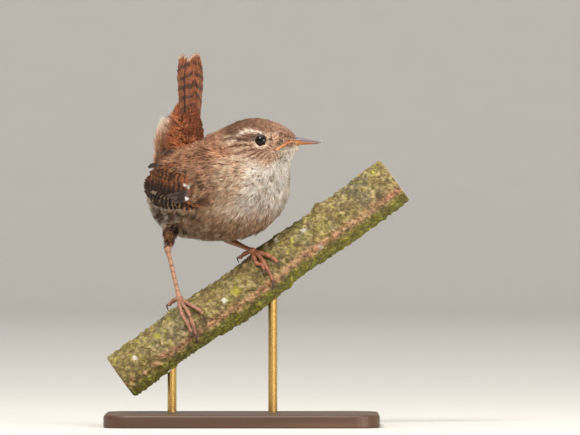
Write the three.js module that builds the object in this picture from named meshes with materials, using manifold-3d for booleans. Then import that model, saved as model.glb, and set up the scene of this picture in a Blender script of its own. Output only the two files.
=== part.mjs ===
// A life-size wren with its tail cocked. It stands with both feet on a sloping branch, which a plain display
// stand holds.
// Millimetres, +Z up, -Y towards the viewer. The origin is the middle of the underside of the stand's base.
// Directions: the bird's body heads between +X and -Y, and its head is turned to look along +X.
import * as THREE from 'three';
import { mergeVertices } from 'three/addons/utils/BufferGeometryUtils.js';
import Module from 'manifold-3d';

const wasm = await Module();
wasm.setup();

// Driving dimensions

const GAP = 0.3; // between pieces that touch

const BASE = { length: 96, width: 58, thickness: 4.5, corner: 9 };
const ROD = { radius: 1.6, alongBranch: [-19, 23] };

const BRANCH = {
  // where the branch's middle line passes, as [x, z], low end first
  line: [[-42.4, 17.2], [-28.7, 27.1], [-15.8, 36.6], [2.8, 48.4], [13.3, 57.4], [34.3, 71.8], [53.4, 86]],
  radiusLow: 8.4,
  radiusHigh: 8.7,
  middle: [-14, 37.7], // the place that distances along the branch are counted from
};

const BODY_HEADING = 45; // degrees from +X towards the viewer
const HEAD_HEADING = 9;
const TORSO_AT = [-7, 1, 82.6];
const HEAD_IN_BODY = [15.9, 1.3, 14.7]; // forward, left and up from the middle of the torso

const EYE = { forward: 2.7, side: 6.9, up: 2.3, radius: 2.5 };
const LIDS = { thickness: 0.42, ring: 0.86, out: 0.62, turnedForward: 0.12, turnedUp: 0.05 };
const BILL = { root: 9.5, tip: 22.6, tipUp: 1.5, width: 3.9, rise: 4.0, mouthUp: 2.35, chinUp: 0.5 };
const GAPE = { back: 6.4, up: -0.7, radius: 0.5 };
const NOSTRIL = { forward: 14.6, side: 1.55, up: 3.05, radii: [0.85, 0.3, 0.28] };

const THIGH = { top: 5.2, end: 1.5 };
const TARSUS = { radius: 0.72, scutes: 8, endsAbove: 1.1 };
const PALM = [1.45, 1.35, 1.25];
const TOE_RADIUS = 0.72;
const CLAW = { root: 0.62, tip: 0.14 };

const WING = { front: 9, tip: -29, rise: 6.5, thickness: 0.55 };
const TAIL = { at: [-16.8, 1.6, 9], depth: 2.6, length: 38.5, feathers: 12, width: 4.4, spread: 9.6 };

// Colours of the materials

const COLOURS = {
  back: 0x8a5f40,
  breast: 0xcdb49b,
  wing: 0x6e452a,
  tail: 0x9c5630,
  billUpper: 0x5d5560,
  billLower: 0xc07a33,
  eye: 0x0c0a0a,
  leg: 0xa9786a,
  claw: 0x5a4038,
  bark: 0x8b8657,
  stand: 0x6b4a30,
  rod: 0xb9a06a,
};

// Small helpers

const radians = THREE.MathUtils.degToRad;
const lerp = THREE.MathUtils.lerp;
const vec = (x, y, z) => new THREE.Vector3(x, y, z);

// A right-handed frame with forward, left and up, turned about the vertical.
function makeFrame(origin, headingDegrees) {
  const angle = radians(headingDegrees);
  const forward = vec(Math.cos(angle), -Math.sin(angle), 0);
  const left = vec(Math.sin(angle), Math.cos(angle), 0);
  const up = vec(0, 0, 1);
  return {
    forward,
    left,
    up,
    origin,
    out: (f, l, u) =>
      origin.clone().addScaledVector(forward, f).addScaledVector(left, l).addScaledVector(up, u),
    into: (p) => {
      const d = p.clone().sub(origin);
      return [d.dot(forward), d.dot(left), d.dot(up)];
    },
  };
}

// A three.js geometry as a manifold solid, turned the right way out, and back.
function solid(geometry) {
  const bare = new THREE.BufferGeometry();
  bare.setAttribute('position', geometry.getAttribute('position'));
  if (geometry.index) bare.setIndex(geometry.index);
  const merged = mergeVertices(bare, 1e-4);
  const kept = [];
  const index = merged.index.array;
  for (let i = 0; i < index.length; i += 3) {
    const [a, b, c] = [index[i], index[i + 1], index[i + 2]];
    if (a !== b && b !== c && c !== a) kept.push(a, b, c);
  }
  const made = manifoldOf(merged, kept);
  if (made.volume() >= 0) return made;
  for (let i = 0; i < kept.length; i += 3) [kept[i], kept[i + 1]] = [kept[i + 1], kept[i]];
  return manifoldOf(merged, kept);
}

const manifoldOf = (geometry, triangles) => new wasm.Manifold(new wasm.Mesh({
  numProp: 3,
  vertProperties: new Float32Array(geometry.attributes.position.array),
  triVerts: new Uint32Array(triangles),
}));

function geometryOf(manifold) {
  const mesh = manifold.getMesh();
  const geometry = new THREE.BufferGeometry();
  geometry.setAttribute('position', new THREE.BufferAttribute(mesh.vertProperties, 3));
  geometry.setIndex(new THREE.BufferAttribute(mesh.triVerts, 1));
  return geometry;
}

const joined = (solids) => solids.reduce((all, one) => all.add(one));
const largest = (manifold) =>
  manifold.decompose().reduce((best, one) => (one.volume() > best.volume() ? one : best));

// Every vertex of a geometry moved by a function of its place.
function mapped(geometry, place) {
  const position = geometry.getAttribute('position');
  const p = vec(0, 0, 0);
  for (let i = 0; i < position.count; i++) {
    p.fromBufferAttribute(position, i);
    const q = place(p);
    position.setXYZ(i, q.x, q.y, q.z);
  }
  return geometry;
}

// Everything on one side of a plane, as a large box to cut with.
function halfSpace(point, normal) {
  const size = 160;
  const box = new THREE.BoxGeometry(size, size, size);
  box.translate(0, 0, size / 2);
  box.applyQuaternion(new THREE.Quaternion().setFromUnitVectors(vec(0, 0, 1), normal));
  box.translate(point.x, point.y, point.z);
  return solid(box);
}

// A closed tube along points, each with its own width and height, rounded to a point or flat at its ends.
function tube(points, sides, radiusAt, upHint = vec(0, 0, 1), rings = points.length * 3) {
  const curve = new THREE.CatmullRomCurve3(points, false, 'centripetal');
  const geometry = new THREE.CylinderGeometry(1, 1, 1, sides, rings);
  return mapped(geometry, (p) => {
    const t = THREE.MathUtils.clamp(p.y + 0.5, 0, 1);
    const centre = curve.getPoint(t);
    const along = curve.getTangent(t);
    const side = along.clone().cross(upHint).normalize();
    const top = side.clone().cross(along).normalize();
    const [wide, high] = radiusAt(t);
    return centre.addScaledVector(side, p.x * wide).addScaledVector(top, p.z * high);
  });
}

// A thin closed sheet between two grids of points that share one way of splitting into triangles.
function sheet(across, along, topAt, bottomAt) {
  const places = [];
  const index = [];
  const rowLength = across + 1;
  for (const at of [topAt, bottomAt])
    for (let j = 0; j <= along; j++)
      for (let i = 0; i <= across; i++) places.push(...at(i / across, j / along).toArray());
  const under = rowLength * (along + 1);
  const quad = (a, b, c, d) => index.push(a, b, d, b, c, d);
  for (let j = 0; j < along; j++)
    for (let i = 0; i < across; i++) {
      const a = j * rowLength + i;
      index.push(a, a + 1, a + rowLength, a + 1, a + rowLength + 1, a + rowLength);
      const b = a + under;
      index.push(b, b + rowLength, b + 1, b + 1, b + rowLength, b + rowLength + 1);
    }
  for (let j = 0; j < along; j++) {
    const a = j * rowLength;
    quad(a, a + rowLength, a + rowLength + under, a + under);
    const b = a + across;
    quad(b + rowLength, b, b + under, b + rowLength + under);
  }
  for (let i = 0; i < across; i++) {
    quad(i + 1, i, i + under, i + 1 + under);
    const c = along * rowLength + i;
    quad(c, c + 1, c + 1 + under, c + under);
  }
  const geometry = new THREE.BufferGeometry();
  geometry.setAttribute('position', new THREE.Float32BufferAttribute(places, 3));
  geometry.setIndex(index);
  return solid(geometry);
}

// A feather as a vane: narrow at its root, widest past the middle, rounded at its tip, ridged along its shaft.
const FLIGHT_OUTLINE = [[0, 0.5], [0.3, 0.95], [0.62, 1], [0.88, 0.8], [1, 0.3]];
const COVERT_OUTLINE = [[0, 0.6], [0.45, 1], [0.8, 0.85], [1, 0.34]];

function vane({ length, width, thickness, outline, place, across = 2 }) {
  const ridge = 0.12;
  const point = 0.1 * width;
  const at = (face) => (u, v) => {
    const [t, half] = outline[Math.round(v * (outline.length - 1))];
    const side = u * 2 - 1;
    const forward = t * length - (v === 1 ? Math.abs(side) * point : 0);
    const thin = thickness / 2 * (v === 1 ? 0.6 : 1);
    return place(forward, side * half * width / 2, face * thin + (1 - Math.abs(side)) * ridge);
  };
  return sheet(across, outline.length - 1, at(1), at(-1));
}

// The body, as rounded masses that blend into each other

const bodyFrame = makeFrame(vec(...TORSO_AT), BODY_HEADING);
const headFrame = makeFrame(bodyFrame.out(...HEAD_IN_BODY), HEAD_HEADING);

const BLEND = 5;
const MASSES = [
  { name: 'torso', frame: bodyFrame, at: [0, 0, 0], radii: [24, 18, 17.5] },
  { name: 'breast', frame: bodyFrame, at: [9.5, 0, 3], radii: [16, 16.5, 16] },
  { name: 'rear', frame: bodyFrame, at: [-14.5, 0, -1], radii: [13.5, 17.2, 15] },
  { name: 'vent', frame: bodyFrame, at: [-22, 0, 12], radii: [6.5, 8.5, 11], behindTail: true },
  { name: 'undertail', frame: bodyFrame, at: [-20, 0, 20], radii: [3.8, 5.4, 10.5], behindTail: true },
  { name: 'shoulders', frame: bodyFrame, at: [7, 0, 10], radii: [13, 12, 10.5] },
  { name: 'skull', frame: headFrame, at: [0, 0, 0], radii: [12, 9.4, 10] },
  { name: 'throat', frame: headFrame, at: [2.5, 0, -7.5], radii: [8.5, 8.5, 9] },
  { name: 'face', frame: headFrame, at: [7.5, 0, 1.9], radii: [6.2, 4.6, 3.7] },
];

const BEFORE_TAIL = MASSES.filter((mass) => !mass.behindTail);

function ellipsoidDistance([f, l, u], at, radii) {
  const scaled = Math.hypot((f - at[0]) / radii[0], (l - at[1]) / radii[1], (u - at[2]) / radii[2]);
  const steep = Math.hypot(
    (f - at[0]) / radii[0] ** 2, (l - at[1]) / radii[1] ** 2, (u - at[2]) / radii[2] ** 2);
  return steep < 1e-9 ? -Math.min(...radii) : scaled * (scaled - 1) / steep;
}

function blended(a, b, reach) {
  const share = Math.max(reach - Math.abs(a - b), 0) / reach;
  return Math.min(a, b) - share * share * reach / 4;
}

function bodyDistance(p, masses) {
  const inBody = bodyFrame.into(p);
  const inHead = headFrame.into(p);
  return masses.reduce((nearest, mass) => {
    const local = mass.frame === bodyFrame ? inBody : inHead;
    return blended(nearest, ellipsoidDistance(local, mass.at, mass.radii), BLEND);
  }, 1e3);
}

// How far out from a place inside the body its surface lies in one direction.
function reachTo(centre, direction, offset, farthest, masses = MASSES) {
  const step = 0.5;
  const at = (t) => bodyDistance(centre.clone().addScaledVector(direction, t), masses) - offset;
  let out = farthest;
  if (at(out) < 0) return farthest;
  while (out > step && at(out - step) >= 0) out -= step;
  let inside = Math.max(out - step, 0);
  for (let i = 0; i < 18; i++) {
    const middle = (inside + out) / 2;
    if (at(middle) < 0) inside = middle;
    else out = middle;
  }
  return (inside + out) / 2;
}

// The body's surface as seen from a place inside it, out to a limit. The back stops in front of the tail.
function bodyPiece(centre, detail, offset = 0, farthest = 60) {
  const ball = new THREE.IcosahedronGeometry(1, detail);
  return solid(mapped(ball, (p) => {
    const direction = p.clone().normalize();
    const place = (masses) =>
      centre.clone().addScaledVector(direction, reachTo(centre, direction, offset, farthest, masses));
    const plain = place(BEFORE_TAIL);
    const behind = bodyFrame.into(plain)[0] < TAIL.at[0] || bodyFrame.into(centre)[0] < TAIL.at[0];
    return behind ? place(MASSES) : plain;
  }));
}

// The soft bulge behind the tail is parted from the torso by a sloping plane, and from the tail by an upright
// one.
const ventMiddle = bodyFrame.out(-23, 0, 13);
const ventFoot = bodyFrame.out(-22, 0, 10.5);
const VENT_PLANE = { back: 0.7, up: 0.71 };
const ventNormal = bodyFrame.up.clone().multiplyScalar(VENT_PLANE.up)
  .addScaledVector(bodyFrame.forward, -VENT_PLANE.back)
  .normalize();
const ventFront = bodyFrame.out(TAIL.at[0] - TAIL.depth - GAP, 0, 0);

function ventPiece(offset) {
  const foot = ventFoot.clone().addScaledVector(ventNormal, GAP - offset);
  const front = ventFront.clone().addScaledVector(bodyFrame.forward, offset);
  return bodyPiece(ventMiddle, 5, offset, 24)
    .subtract(halfSpace(foot, ventNormal.clone().negate()))
    .subtract(halfSpace(front, bodyFrame.forward));
}

// Head, neck and torso are parted by two like planes that slope down from the nape to the throat.
const NECK = { slope: 30, top: 2.9, foot: 7.2 };

const neckUp = headFrame.up.clone().multiplyScalar(Math.cos(radians(NECK.slope)))
  .addScaledVector(headFrame.forward, Math.sin(radians(NECK.slope)));
const neckDown = neckUp.clone().negate();
const neckTop = headFrame.out(0, 0, -NECK.top);
const neckFoot = headFrame.out(0, 0, -NECK.foot);
const neckMiddle = neckTop.clone().lerp(neckFoot, 0.5);

// The branch

const branchCurve = new THREE.CatmullRomCurve3(
  BRANCH.line.map(([x, z]) => vec(x, 0, z)), false, 'centripetal');
const branchLength = branchCurve.getLength();
const branchZero = (() => {
  let best = 0;
  for (let t = 0; t <= 1; t += 0.001) {
    const p = branchCurve.getPointAt(t);
    const q = branchCurve.getPointAt(best);
    const target = vec(BRANCH.middle[0], 0, BRANCH.middle[1]);
    if (p.distanceTo(target) < q.distanceTo(target)) best = t;
  }
  return best * branchLength;
})();

// Low bumps keep the branch from being a plain round bar.
const BRANCH_BUMPS = [
  { along: 55.5, angle: -8, size: 1.5, reach: 2.2 },
  { along: 31, angle: 155, size: 1.1, reach: 2.6 },
  { along: -22, angle: -70, size: 1.2, reach: 3.5 },
  { along: 12, angle: 215, size: 1.3, reach: 3 },
];

function branchRadius(along, angle) {
  const share = (along + branchZero) / branchLength;
  const round = lerp(BRANCH.radiusLow, BRANCH.radiusHigh, share);
  const wave = 0.16 * Math.sin(angle * 2 + along * 0.11) + 0.12 * Math.sin(angle * 3 - along * 0.17);
  const bumps = BRANCH_BUMPS.reduce((sum, bump) => {
    const turn = Math.atan2(Math.sin(angle - radians(bump.angle)), Math.cos(angle - radians(bump.angle)));
    const away = Math.hypot(along - bump.along, turn * round);
    return sum + bump.size * Math.exp(-((away / bump.reach) ** 2));
  }, 0);
  return round + wave + bumps;
}

// A point over the branch: along it, round it from its top towards the viewer, and out from its bark.
function onBranch(along, degrees, lift) {
  const t = THREE.MathUtils.clamp((along + branchZero) / branchLength, 0, 1);
  const centre = branchCurve.getPointAt(t);
  const tangent = branchCurve.getTangentAt(t);
  const top = vec(-tangent.z, 0, tangent.x);
  const front = vec(0, -1, 0);
  const angle = radians(degrees);
  const out = top.multiplyScalar(Math.cos(angle)).addScaledVector(front, Math.sin(angle));
  return centre.addScaledVector(out, branchRadius(along, angle) + lift);
}

function branchSolid(grow = 0) {
  const sides = 18;
  const rings = 20;
  const geometry = new THREE.CylinderGeometry(1, 1, 1, sides, rings);
  return solid(mapped(geometry, (p) => {
    const along = (p.y + 0.5) * branchLength - branchZero;
    const radius = Math.hypot(p.x, p.z);
    const degrees = THREE.MathUtils.radToDeg(Math.atan2(p.x, p.z));
    const surface = onBranch(along, degrees, grow);
    const centre = branchCurve.getPointAt(THREE.MathUtils.clamp(p.y + 0.5, 0, 1));
    return centre.lerp(surface, radius);
  }));
}

// The stand

function standBase() {
  const { length, width, thickness, corner } = BASE;
  const x = length / 2 - corner;
  const y = width / 2 - corner;
  const outline = new THREE.Shape();
  outline.absarc(x, y, corner, 0, Math.PI / 2);
  outline.absarc(-x, y, corner, Math.PI / 2, Math.PI);
  outline.absarc(-x, -y, corner, Math.PI, Math.PI * 1.5);
  outline.absarc(x, -y, corner, Math.PI * 1.5, Math.PI * 2);
  outline.closePath();
  return solid(new THREE.ExtrudeGeometry(outline, { depth: thickness, bevelEnabled: false, curveSegments: 6 }));
}

function standRod(along) {
  const foot = onBranch(along, 180, 0);
  const top = branchCurve.getPointAt((along + branchZero) / branchLength);
  const bottom = BASE.thickness + GAP;
  const height = top.z - bottom;
  const rod = new THREE.CylinderGeometry(ROD.radius, ROD.radius, height, 14);
  rod.rotateX(Math.PI / 2);
  rod.translate(foot.x, 0, bottom + height / 2);
  return largest(solid(rod).subtract(branchSolid(GAP)));
}

// Head, bill and eyes

function eyeBall(side, grow = 0) {
  const ball = new THREE.SphereGeometry(EYE.radius + grow, 14, 10);
  const centre = headFrame.out(EYE.forward, side * EYE.side, EYE.up);
  return solid(ball.translate(centre.x, centre.y, centre.z));
}

// The ring of the two lids round an eye, facing out and a little forward.
function eyeLids(side) {
  const centre = headFrame.out(EYE.forward, side * EYE.side, EYE.up);
  const outward = headFrame.left.clone().multiplyScalar(side)
    .addScaledVector(headFrame.forward, LIDS.turnedForward)
    .addScaledVector(headFrame.up, LIDS.turnedUp)
    .normalize();
  const ring = new THREE.TorusGeometry(EYE.radius * LIDS.ring, LIDS.thickness, 5, 16);
  ring.applyQuaternion(new THREE.Quaternion().setFromUnitVectors(vec(0, 0, 1), outward));
  const place = centre.addScaledVector(outward, EYE.radius * LIDS.out);
  return solid(ring.translate(place.x, place.y, place.z));
}

// Half of the bill. The culmen arches down to the tip, and the mouth's line runs along the middle.
function billHalf(upper, grow = 0) {
  const rings = 7;
  const geometry = new THREE.CylinderGeometry(1, 1, 1, 10, rings);
  const half = solid(mapped(geometry, (p) => {
    const t = THREE.MathUtils.clamp(p.y + 0.5, 0, 1);
    const taper = Math.pow(1 - t, 0.8);
    const droop = t * t;
    const mouth = lerp(BILL.mouthUp, BILL.tipUp + 0.1, droop);
    const top = lerp(BILL.rise, BILL.tipUp + 0.42, Math.pow(t, 1.9));
    const bottom = lerp(BILL.chinUp, BILL.tipUp - 0.22, Math.pow(t, 0.85));
    const wide = BILL.width / 2 * taper + 0.16 + grow;
    const tip = upper ? BILL.tip : BILL.tip - 0.7;
    const seam = GAP / 2 - grow;
    const low = upper ? mouth + seam : bottom - grow;
    const high = upper ? top + grow : mouth - seam;
    const f = lerp(BILL.root - grow, tip + grow, t);
    const middle = upper ? low : high;
    const reach = upper ? high - low : low - high;
    const round = Math.max(p.z, 0);
    return headFrame.out(f, p.x * wide, middle + reach * round);
  }));
  return half;
}

// The soft corner of the mouth, a narrow ridge from the bill back along the cheek.
function gapeRidge(side, grow = 0) {
  const points = [0, 0.33, 0.66, 1].map((t) => {
    const f = lerp(BILL.root + 2.4, GAPE.back, t);
    const u = lerp(BILL.mouthUp - 1.0, GAPE.up, t);
    const inside = headFrame.out(f, 0, u);
    const outward = headFrame.left.clone().multiplyScalar(side);
    const reach = reachTo(inside, outward, 0, 20);
    return inside.addScaledVector(outward, Math.max(reach - 0.1, 1.2));
  });
  const radiusAt = (t) => {
    const r = GAPE.radius * (1 - 0.45 * t) + grow;
    return [r, r];
  };
  return solid(tube(points, 6, radiusAt, vec(0, 0, 1), 6));
}

function nostril(side) {
  const slot = new THREE.SphereGeometry(1, 8, 6);
  slot.scale(...NOSTRIL.radii);
  const place = headFrame.out(NOSTRIL.forward, side * NOSTRIL.side, NOSTRIL.up);
  slot.rotateZ(-radians(HEAD_HEADING));
  return solid(slot.translate(place.x, place.y, place.z));
}

function headSolid() {
  let head = bodyPiece(headFrame.origin, 7, 0, 24).subtract(halfSpace(neckTop, neckDown));
  for (const side of [1, -1]) head = head.add(eyeLids(side)).subtract(eyeBall(side, GAP));
  head = head.subtract(billHalf(true, GAP)).subtract(billHalf(false, GAP));
  for (const side of [1, -1]) head = head.subtract(gapeRidge(side, GAP));
  return largest(head);
}

function billUpper() {
  return largest(billHalf(true).subtract(nostril(1)).subtract(nostril(-1)));
}

function billLower() {
  const whole = billHalf(false).add(gapeRidge(1)).add(gapeRidge(-1));
  return largest(whole.subtract(billHalf(true, GAP)));
}

// Wings, each laid on the side of the body. Places on a wing are along it, up it and out from it.

function wingPlace(side) {
  const sideways = (f, u) => 19 - (f - 2) ** 2 / 190 - (u + 1) ** 2 / 42;
  const span = WING.front - WING.tip;
  return (along, up, out) => {
    const f = WING.front - along;
    const u = up + WING.rise * along / span - 1.5;
    return bodyFrame.out(f, side * (sideways(f, u) + out), u);
  };
}

// Rows of a wing, lowest first: the roots [along, up] of the first and the last feather, their tips, a width and
// how high the row lies. Feathers lap like tiles, the upper over the lower.
const WING_ROWS = [
  { flight: true, count: 7, root: [[6, -4.6], [11, -2.2]], tip: [[28, -4.4], [33.8, 0.6]], width: 3.6, lift: 0.75 },
  { flight: true, count: 5, root: [[9, -1.6], [11, 4.2]], tip: [[32.5, 1.0], [29.5, 3.6]], width: 4.2, lift: 1.1 },
  { flight: true, count: 3, root: [[9, 3.4], [8, 5.6]], tip: [[28, 3.2], [22, 5.6]], width: 5.2, lift: 1.75 },
  { count: 3, root: [[2.5, -5.4], [5, -3.0]], tip: [[14, -5.2], [18, -3.0]], width: 3.0, lift: 1.3 },
  { count: 6, root: [[4, -3], [4, 5.6]], tip: [[17.5, -2.8], [15, 6]], width: 3.9, lift: 1.9 },
  { count: 4, root: [[1.2, -2.6], [1.2, 5.4]], tip: [[10.5, -2.4], [9.5, 5.8]], width: 3.8, lift: 2.4 },
];
const TILE_STEP = 0.3;
const LEAST_STEP = 1.1;
const betweenPoints = ([from, to], share) => [lerp(from[0], to[0], share), lerp(from[1], to[1], share)];

function wingFeather(place, row, share, step) {
  const root = betweenPoints(row.root, share);
  const tip = betweenPoints(row.tip, share);
  const length = Math.hypot(tip[0] - root[0], tip[1] - root[1]);
  const dir = [(tip[0] - root[0]) / length, (tip[1] - root[1]) / length];
  const sag = 0.035 * length;
  const tilt = -TILE_STEP / step;
  return vane({
    length,
    width: row.width,
    thickness: WING.thickness,
    outline: row.flight ? FLIGHT_OUTLINE : COVERT_OUTLINE,
    across: row.flight ? 2 : 1,
    place: (t, x, z) => {
      const bow = -sag * Math.sin(Math.PI * t / length);
      const along = root[0] + dir[0] * t - dir[1] * (x + bow);
      const up = root[1] + dir[1] * t + dir[0] * (x + bow);
      return place(along, up, row.lift + z + tilt * x);
    },
  });
}

function wingSolid(side, bodyCutter) {
  const place = wingPlace(side);
  const feathers = WING_ROWS.flatMap((row) => {
    const [first, last] = row.tip;
    const gaps = row.count - 1;
    const step = Math.max(Math.hypot(last[0] - first[0], last[1] - first[1]) / gaps, LEAST_STEP);
    return Array.from({ length: row.count }, (_, i) => wingFeather(place, row, i / gaps, step));
  });
  const arm = solid(mapped(new THREE.SphereGeometry(1, 18, 10), (p) =>
    place(6.5 + p.x * 8.2, 0.6 + p.y * 7.4, 0.4 + p.z * 2.3)));
  return largest(joined([arm, ...feathers]).subtract(bodyCutter));
}

// The tail stands straight up. Places on it are up it, across it and behind it.

const tailPlace = (t, x, z) => bodyFrame.out(TAIL.at[0] - z + 0.02 * t, TAIL.at[1] + x, TAIL.at[2] + t);

// The tail ends in two rounded lobes, the narrower on the bird's right.
function tailReach(across) {
  const notch = 2.4 * Math.exp(-(((across + 2) / 1.1) ** 2));
  const leftCorner = 0.36 * Math.max(across - 2.2, 0) ** 2;
  const rightCorner = 0.45 * Math.max(-3.7 - across, 0) ** 2;
  return TAIL.length - notch - leftCorner - rightCorner;
}

function tailSolid() {
  const half = TAIL.feathers / 2;
  const pieces = [];
  for (const side of [1, -1])
    for (let i = 0; i < half; i++) {
      const share = (i + 0.5) / half;
      const length = tailReach(side * (0.9 + TAIL.spread / 2) * share);
      const lean = (TAIL.spread / 2) * share / TAIL.length;
      const lift = 0.3 * i + (side > 0 ? 0 : 0.15);
      pieces.push(vane({
        length,
        width: TAIL.width,
        thickness: 0.55,
        outline: FLIGHT_OUTLINE,
        place: (t, x, z) => tailPlace(t, side * (0.9 * share + lean * t) + x, lift - z),
      }));
    }
  return joined([...pieces, ...tailCoverts()]);
}

// The coverts over the root of the tail, in front of it and behind it.
function tailCoverts() {
  const pieces = [];
  const upper = 5;
  for (let i = 0; i < upper; i++) {
    const share = i / (upper - 1) * 2 - 1;
    pieces.push(vane({
      length: 18 - 2.5 * share * share,
      width: 4.2,
      thickness: 0.55,
      outline: COVERT_OUTLINE,
      place: (t, x, z) => tailPlace(t, share * 2.6 + x, -0.5 + 0.35 * Math.abs(share) - z),
    }));
  }
  const under = 7;
  for (let i = 0; i < under; i++) {
    const share = i / (under - 1) * 2 - 1;
    const row = i % 2;
    pieces.push(vane({
      length: 27 - 5 * share * share - 4 * row,
      width: 4.4,
      thickness: 0.6,
      outline: COVERT_OUTLINE,
      across: 1,
      place: (t, x, z) => {
        const back = 9 * (1 - t / 27) ** 1.5 + 2.4 + 0.5 * row;
        return tailPlace(t, share * 3.2 + x, back + z - 0.6 * share * share);
      },
    }));
  }
  const core = tube([tailPlace(-4, 0, 2.5), tailPlace(6, 0, 2.8), tailPlace(15, 0, 1.6)], 12,
    (t) => [lerp(5.4, 2.8, t), lerp(4.2, 0.7, t)], bodyFrame.forward, 5);
  pieces.push(solid(core));
  return pieces;
}

// Legs

const LEGS = {
  right: {
    side: -1,
    hip: [-14.5, -9, -9.5],
    ankle: vec(-26, -3.6, 62.0),
    foot: { along: -2.6, degrees: 17, lift: 1.9 },
    toes: {
      outer: [[-3.6, 34], [-4.8, 62], [-5.1, 84], [-5.8, 101]],
      middle: [[-2.7, 38], [-2.6, 60], [-3.6, 88], [-5.0, 112]],
      inner: [[-1.6, 36], [-0.4, 56], [0.8, 72], [1.2, 84]],
      hind: [[-4.6, 8, 2.2], [-6.6, 2, 1.9]],
    },
    claws: {
      outer: [-6.8, 116],
      middle: [-6.8, 134],
      inner: [0.4, 99],
      hind: [-8.0, -12],
    },
  },
  left: {
    side: 1,
    hip: [-3, 8, -9],
    ankle: vec(-5, 9.6, 65.2),
    foot: { along: 29.2, degrees: 27, lift: 1.9 },
    toes: {
      inner: [[28.2, 42], [27.5, 58], [28.4, 70], [28, 80]],
      middle: [[29.8, 44], [29.5, 66], [28.9, 86], [27.6, 108]],
      outer: [[30.8, 46], [32, 62], [32.8, 76], [32.9, 87]],
      hind: [[26.6, 16, 2.1], [24.2, 8, 1.8]],
    },
    claws: {
      inner: [26.0, 92],
      middle: [25.2, 128],
      outer: [32.2, 101],
      hind: [22.4, -8],
    },
  },
};

const footPlace = (leg) => onBranch(leg.foot.along, leg.foot.degrees, leg.foot.lift);

function thighSolid(leg, bodyCutter) {
  const hip = bodyFrame.out(...leg.hip);
  const ankle = leg.ankle.clone();
  const points = [hip, hip.clone().lerp(ankle, 0.5), hip.clone().lerp(ankle, 0.82), ankle];
  const thigh = solid(tube(points, 14, (t) => {
    const r = lerp(THIGH.top, THIGH.end, Math.pow(t, 0.8));
    return [r, r];
  }, bodyFrame.left, 8));
  const shank = footPlace(leg).sub(ankle).normalize();
  return largest(thigh.subtract(disc(ankle, shank, THIGH.end * 2)).subtract(bodyCutter));
}

// The bare shank, with a raised plate for each scute down its front.
function tarsusSolid(leg) {
  const foot = footPlace(leg);
  const along = foot.clone().sub(leg.ankle).normalize();
  const top = leg.ankle.clone().addScaledVector(along, GAP);
  const bottom = foot.clone().addScaledVector(along, -GAP - TARSUS.endsAbove);
  const rings = TARSUS.scutes * 2;
  const front = bodyFrame.forward;
  return solid(tube([top, top.clone().lerp(bottom, 0.5), bottom], 8, (t) => {
    const joint = 0.5 * Math.exp(-((t / 0.1) ** 2)) + 0.25 * Math.exp(-(((1 - t) / 0.08) ** 2));
    const plate = 0.09 * (1 - (t * TARSUS.scutes) % 1);
    const r = TARSUS.radius + joint + plate;
    return [r * 0.9, r * 1.12];
  }, front, rings));
}

// A joint of a toe, on the bark unless it has its own height over it.
const TOE_LIFT = TOE_RADIUS + GAP + 0.12;
const toePlace = ([along, degrees, lift = TOE_LIFT]) => onBranch(along, degrees, lift);
const TOE_SIDEWAYS = vec(0.01, 1, 0.02).normalize(); // never in line with a toe

// A toe from the foot's middle, following the bark, swelling at each joint.
function toeTube(leg, name) {
  const start = footPlace(leg);
  const points = [start, ...leg.toes[name].map(toePlace)];
  return solid(tube(points, 6, (t) => {
    const swell = 0.1 * Math.cos(t * Math.PI * 2 * (points.length - 1));
    const end = t > 0.995 ? 0.75 : 1;
    const r = (lerp(TOE_RADIUS * 1.1, TOE_RADIUS * 0.86, t) + swell) * end;
    return [r, r];
  }, TOE_SIDEWAYS, points.length * 2 + 1));
}

function footSolid(leg, branchCutter) {
  const palm = new THREE.SphereGeometry(1, 9, 6);
  palm.scale(...PALM);
  const place = footPlace(leg);
  palm.translate(place.x, place.y, place.z);
  const toes = Object.keys(leg.toes).map((name) => toeTube(leg, name));
  const along = place.clone().sub(leg.ankle).normalize();
  const shankEnd = place.clone().addScaledVector(along, -TARSUS.endsAbove);
  return largest(joined([solid(palm), ...toes])
    .subtract(disc(shankEnd, along.clone().negate(), TARSUS.radius * 2))
    .subtract(branchCutter));
}

// A short disc, which clears what lies just past a point.
function disc(point, normal, radius) {
  const height = 4;
  const plate = new THREE.CylinderGeometry(radius, radius, height, 16);
  plate.translate(0, height / 2, 0);
  plate.applyQuaternion(new THREE.Quaternion().setFromUnitVectors(vec(0, 1, 0), normal));
  plate.translate(point.x, point.y, point.z);
  return solid(plate);
}

// A claw, curved off the end of its toe and down to the bark.
function clawSolid(leg, name, branchCutter) {
  const toe = leg.toes[name];
  const last = toe[toe.length - 1];
  const before = toe[toe.length - 2];
  const end = toePlace(last);
  const direction = end.clone().sub(toePlace(before)).normalize();
  const start = end.clone().addScaledVector(direction, GAP);
  const tip = onBranch(...leg.claws[name], GAP + 0.15);
  const middle = [(last[0] + leg.claws[name][0]) / 2, (last[1] + leg.claws[name][1]) / 2];
  const bend = onBranch(...middle, (last[2] ?? TOE_LIFT) + 0.35);
  return largest(solid(tube([start, bend, tip], 5, (t) => {
    const r = lerp(CLAW.root, CLAW.tip, Math.pow(t, 0.9));
    return [r * 0.85, r];
  }, TOE_SIDEWAYS, 5)).subtract(branchCutter));
}

// Everything, as named meshes

const bodyCutter = bodyPiece(bodyFrame.origin, 7, GAP).subtract(halfSpace(ventFoot, ventNormal))
  .add(ventPiece(GAP));
const branchCutter = branchSolid(GAP);
const wren = new THREE.Group();

function add(name, manifold, colour, roughness = 0.8, metalness = 0) {
  const material = new THREE.MeshStandardMaterial({ color: COLOURS[colour], roughness, metalness });
  const mesh = new THREE.Mesh(geometryOf(manifold), material);
  mesh.name = name;
  wren.add(mesh);
}

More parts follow.
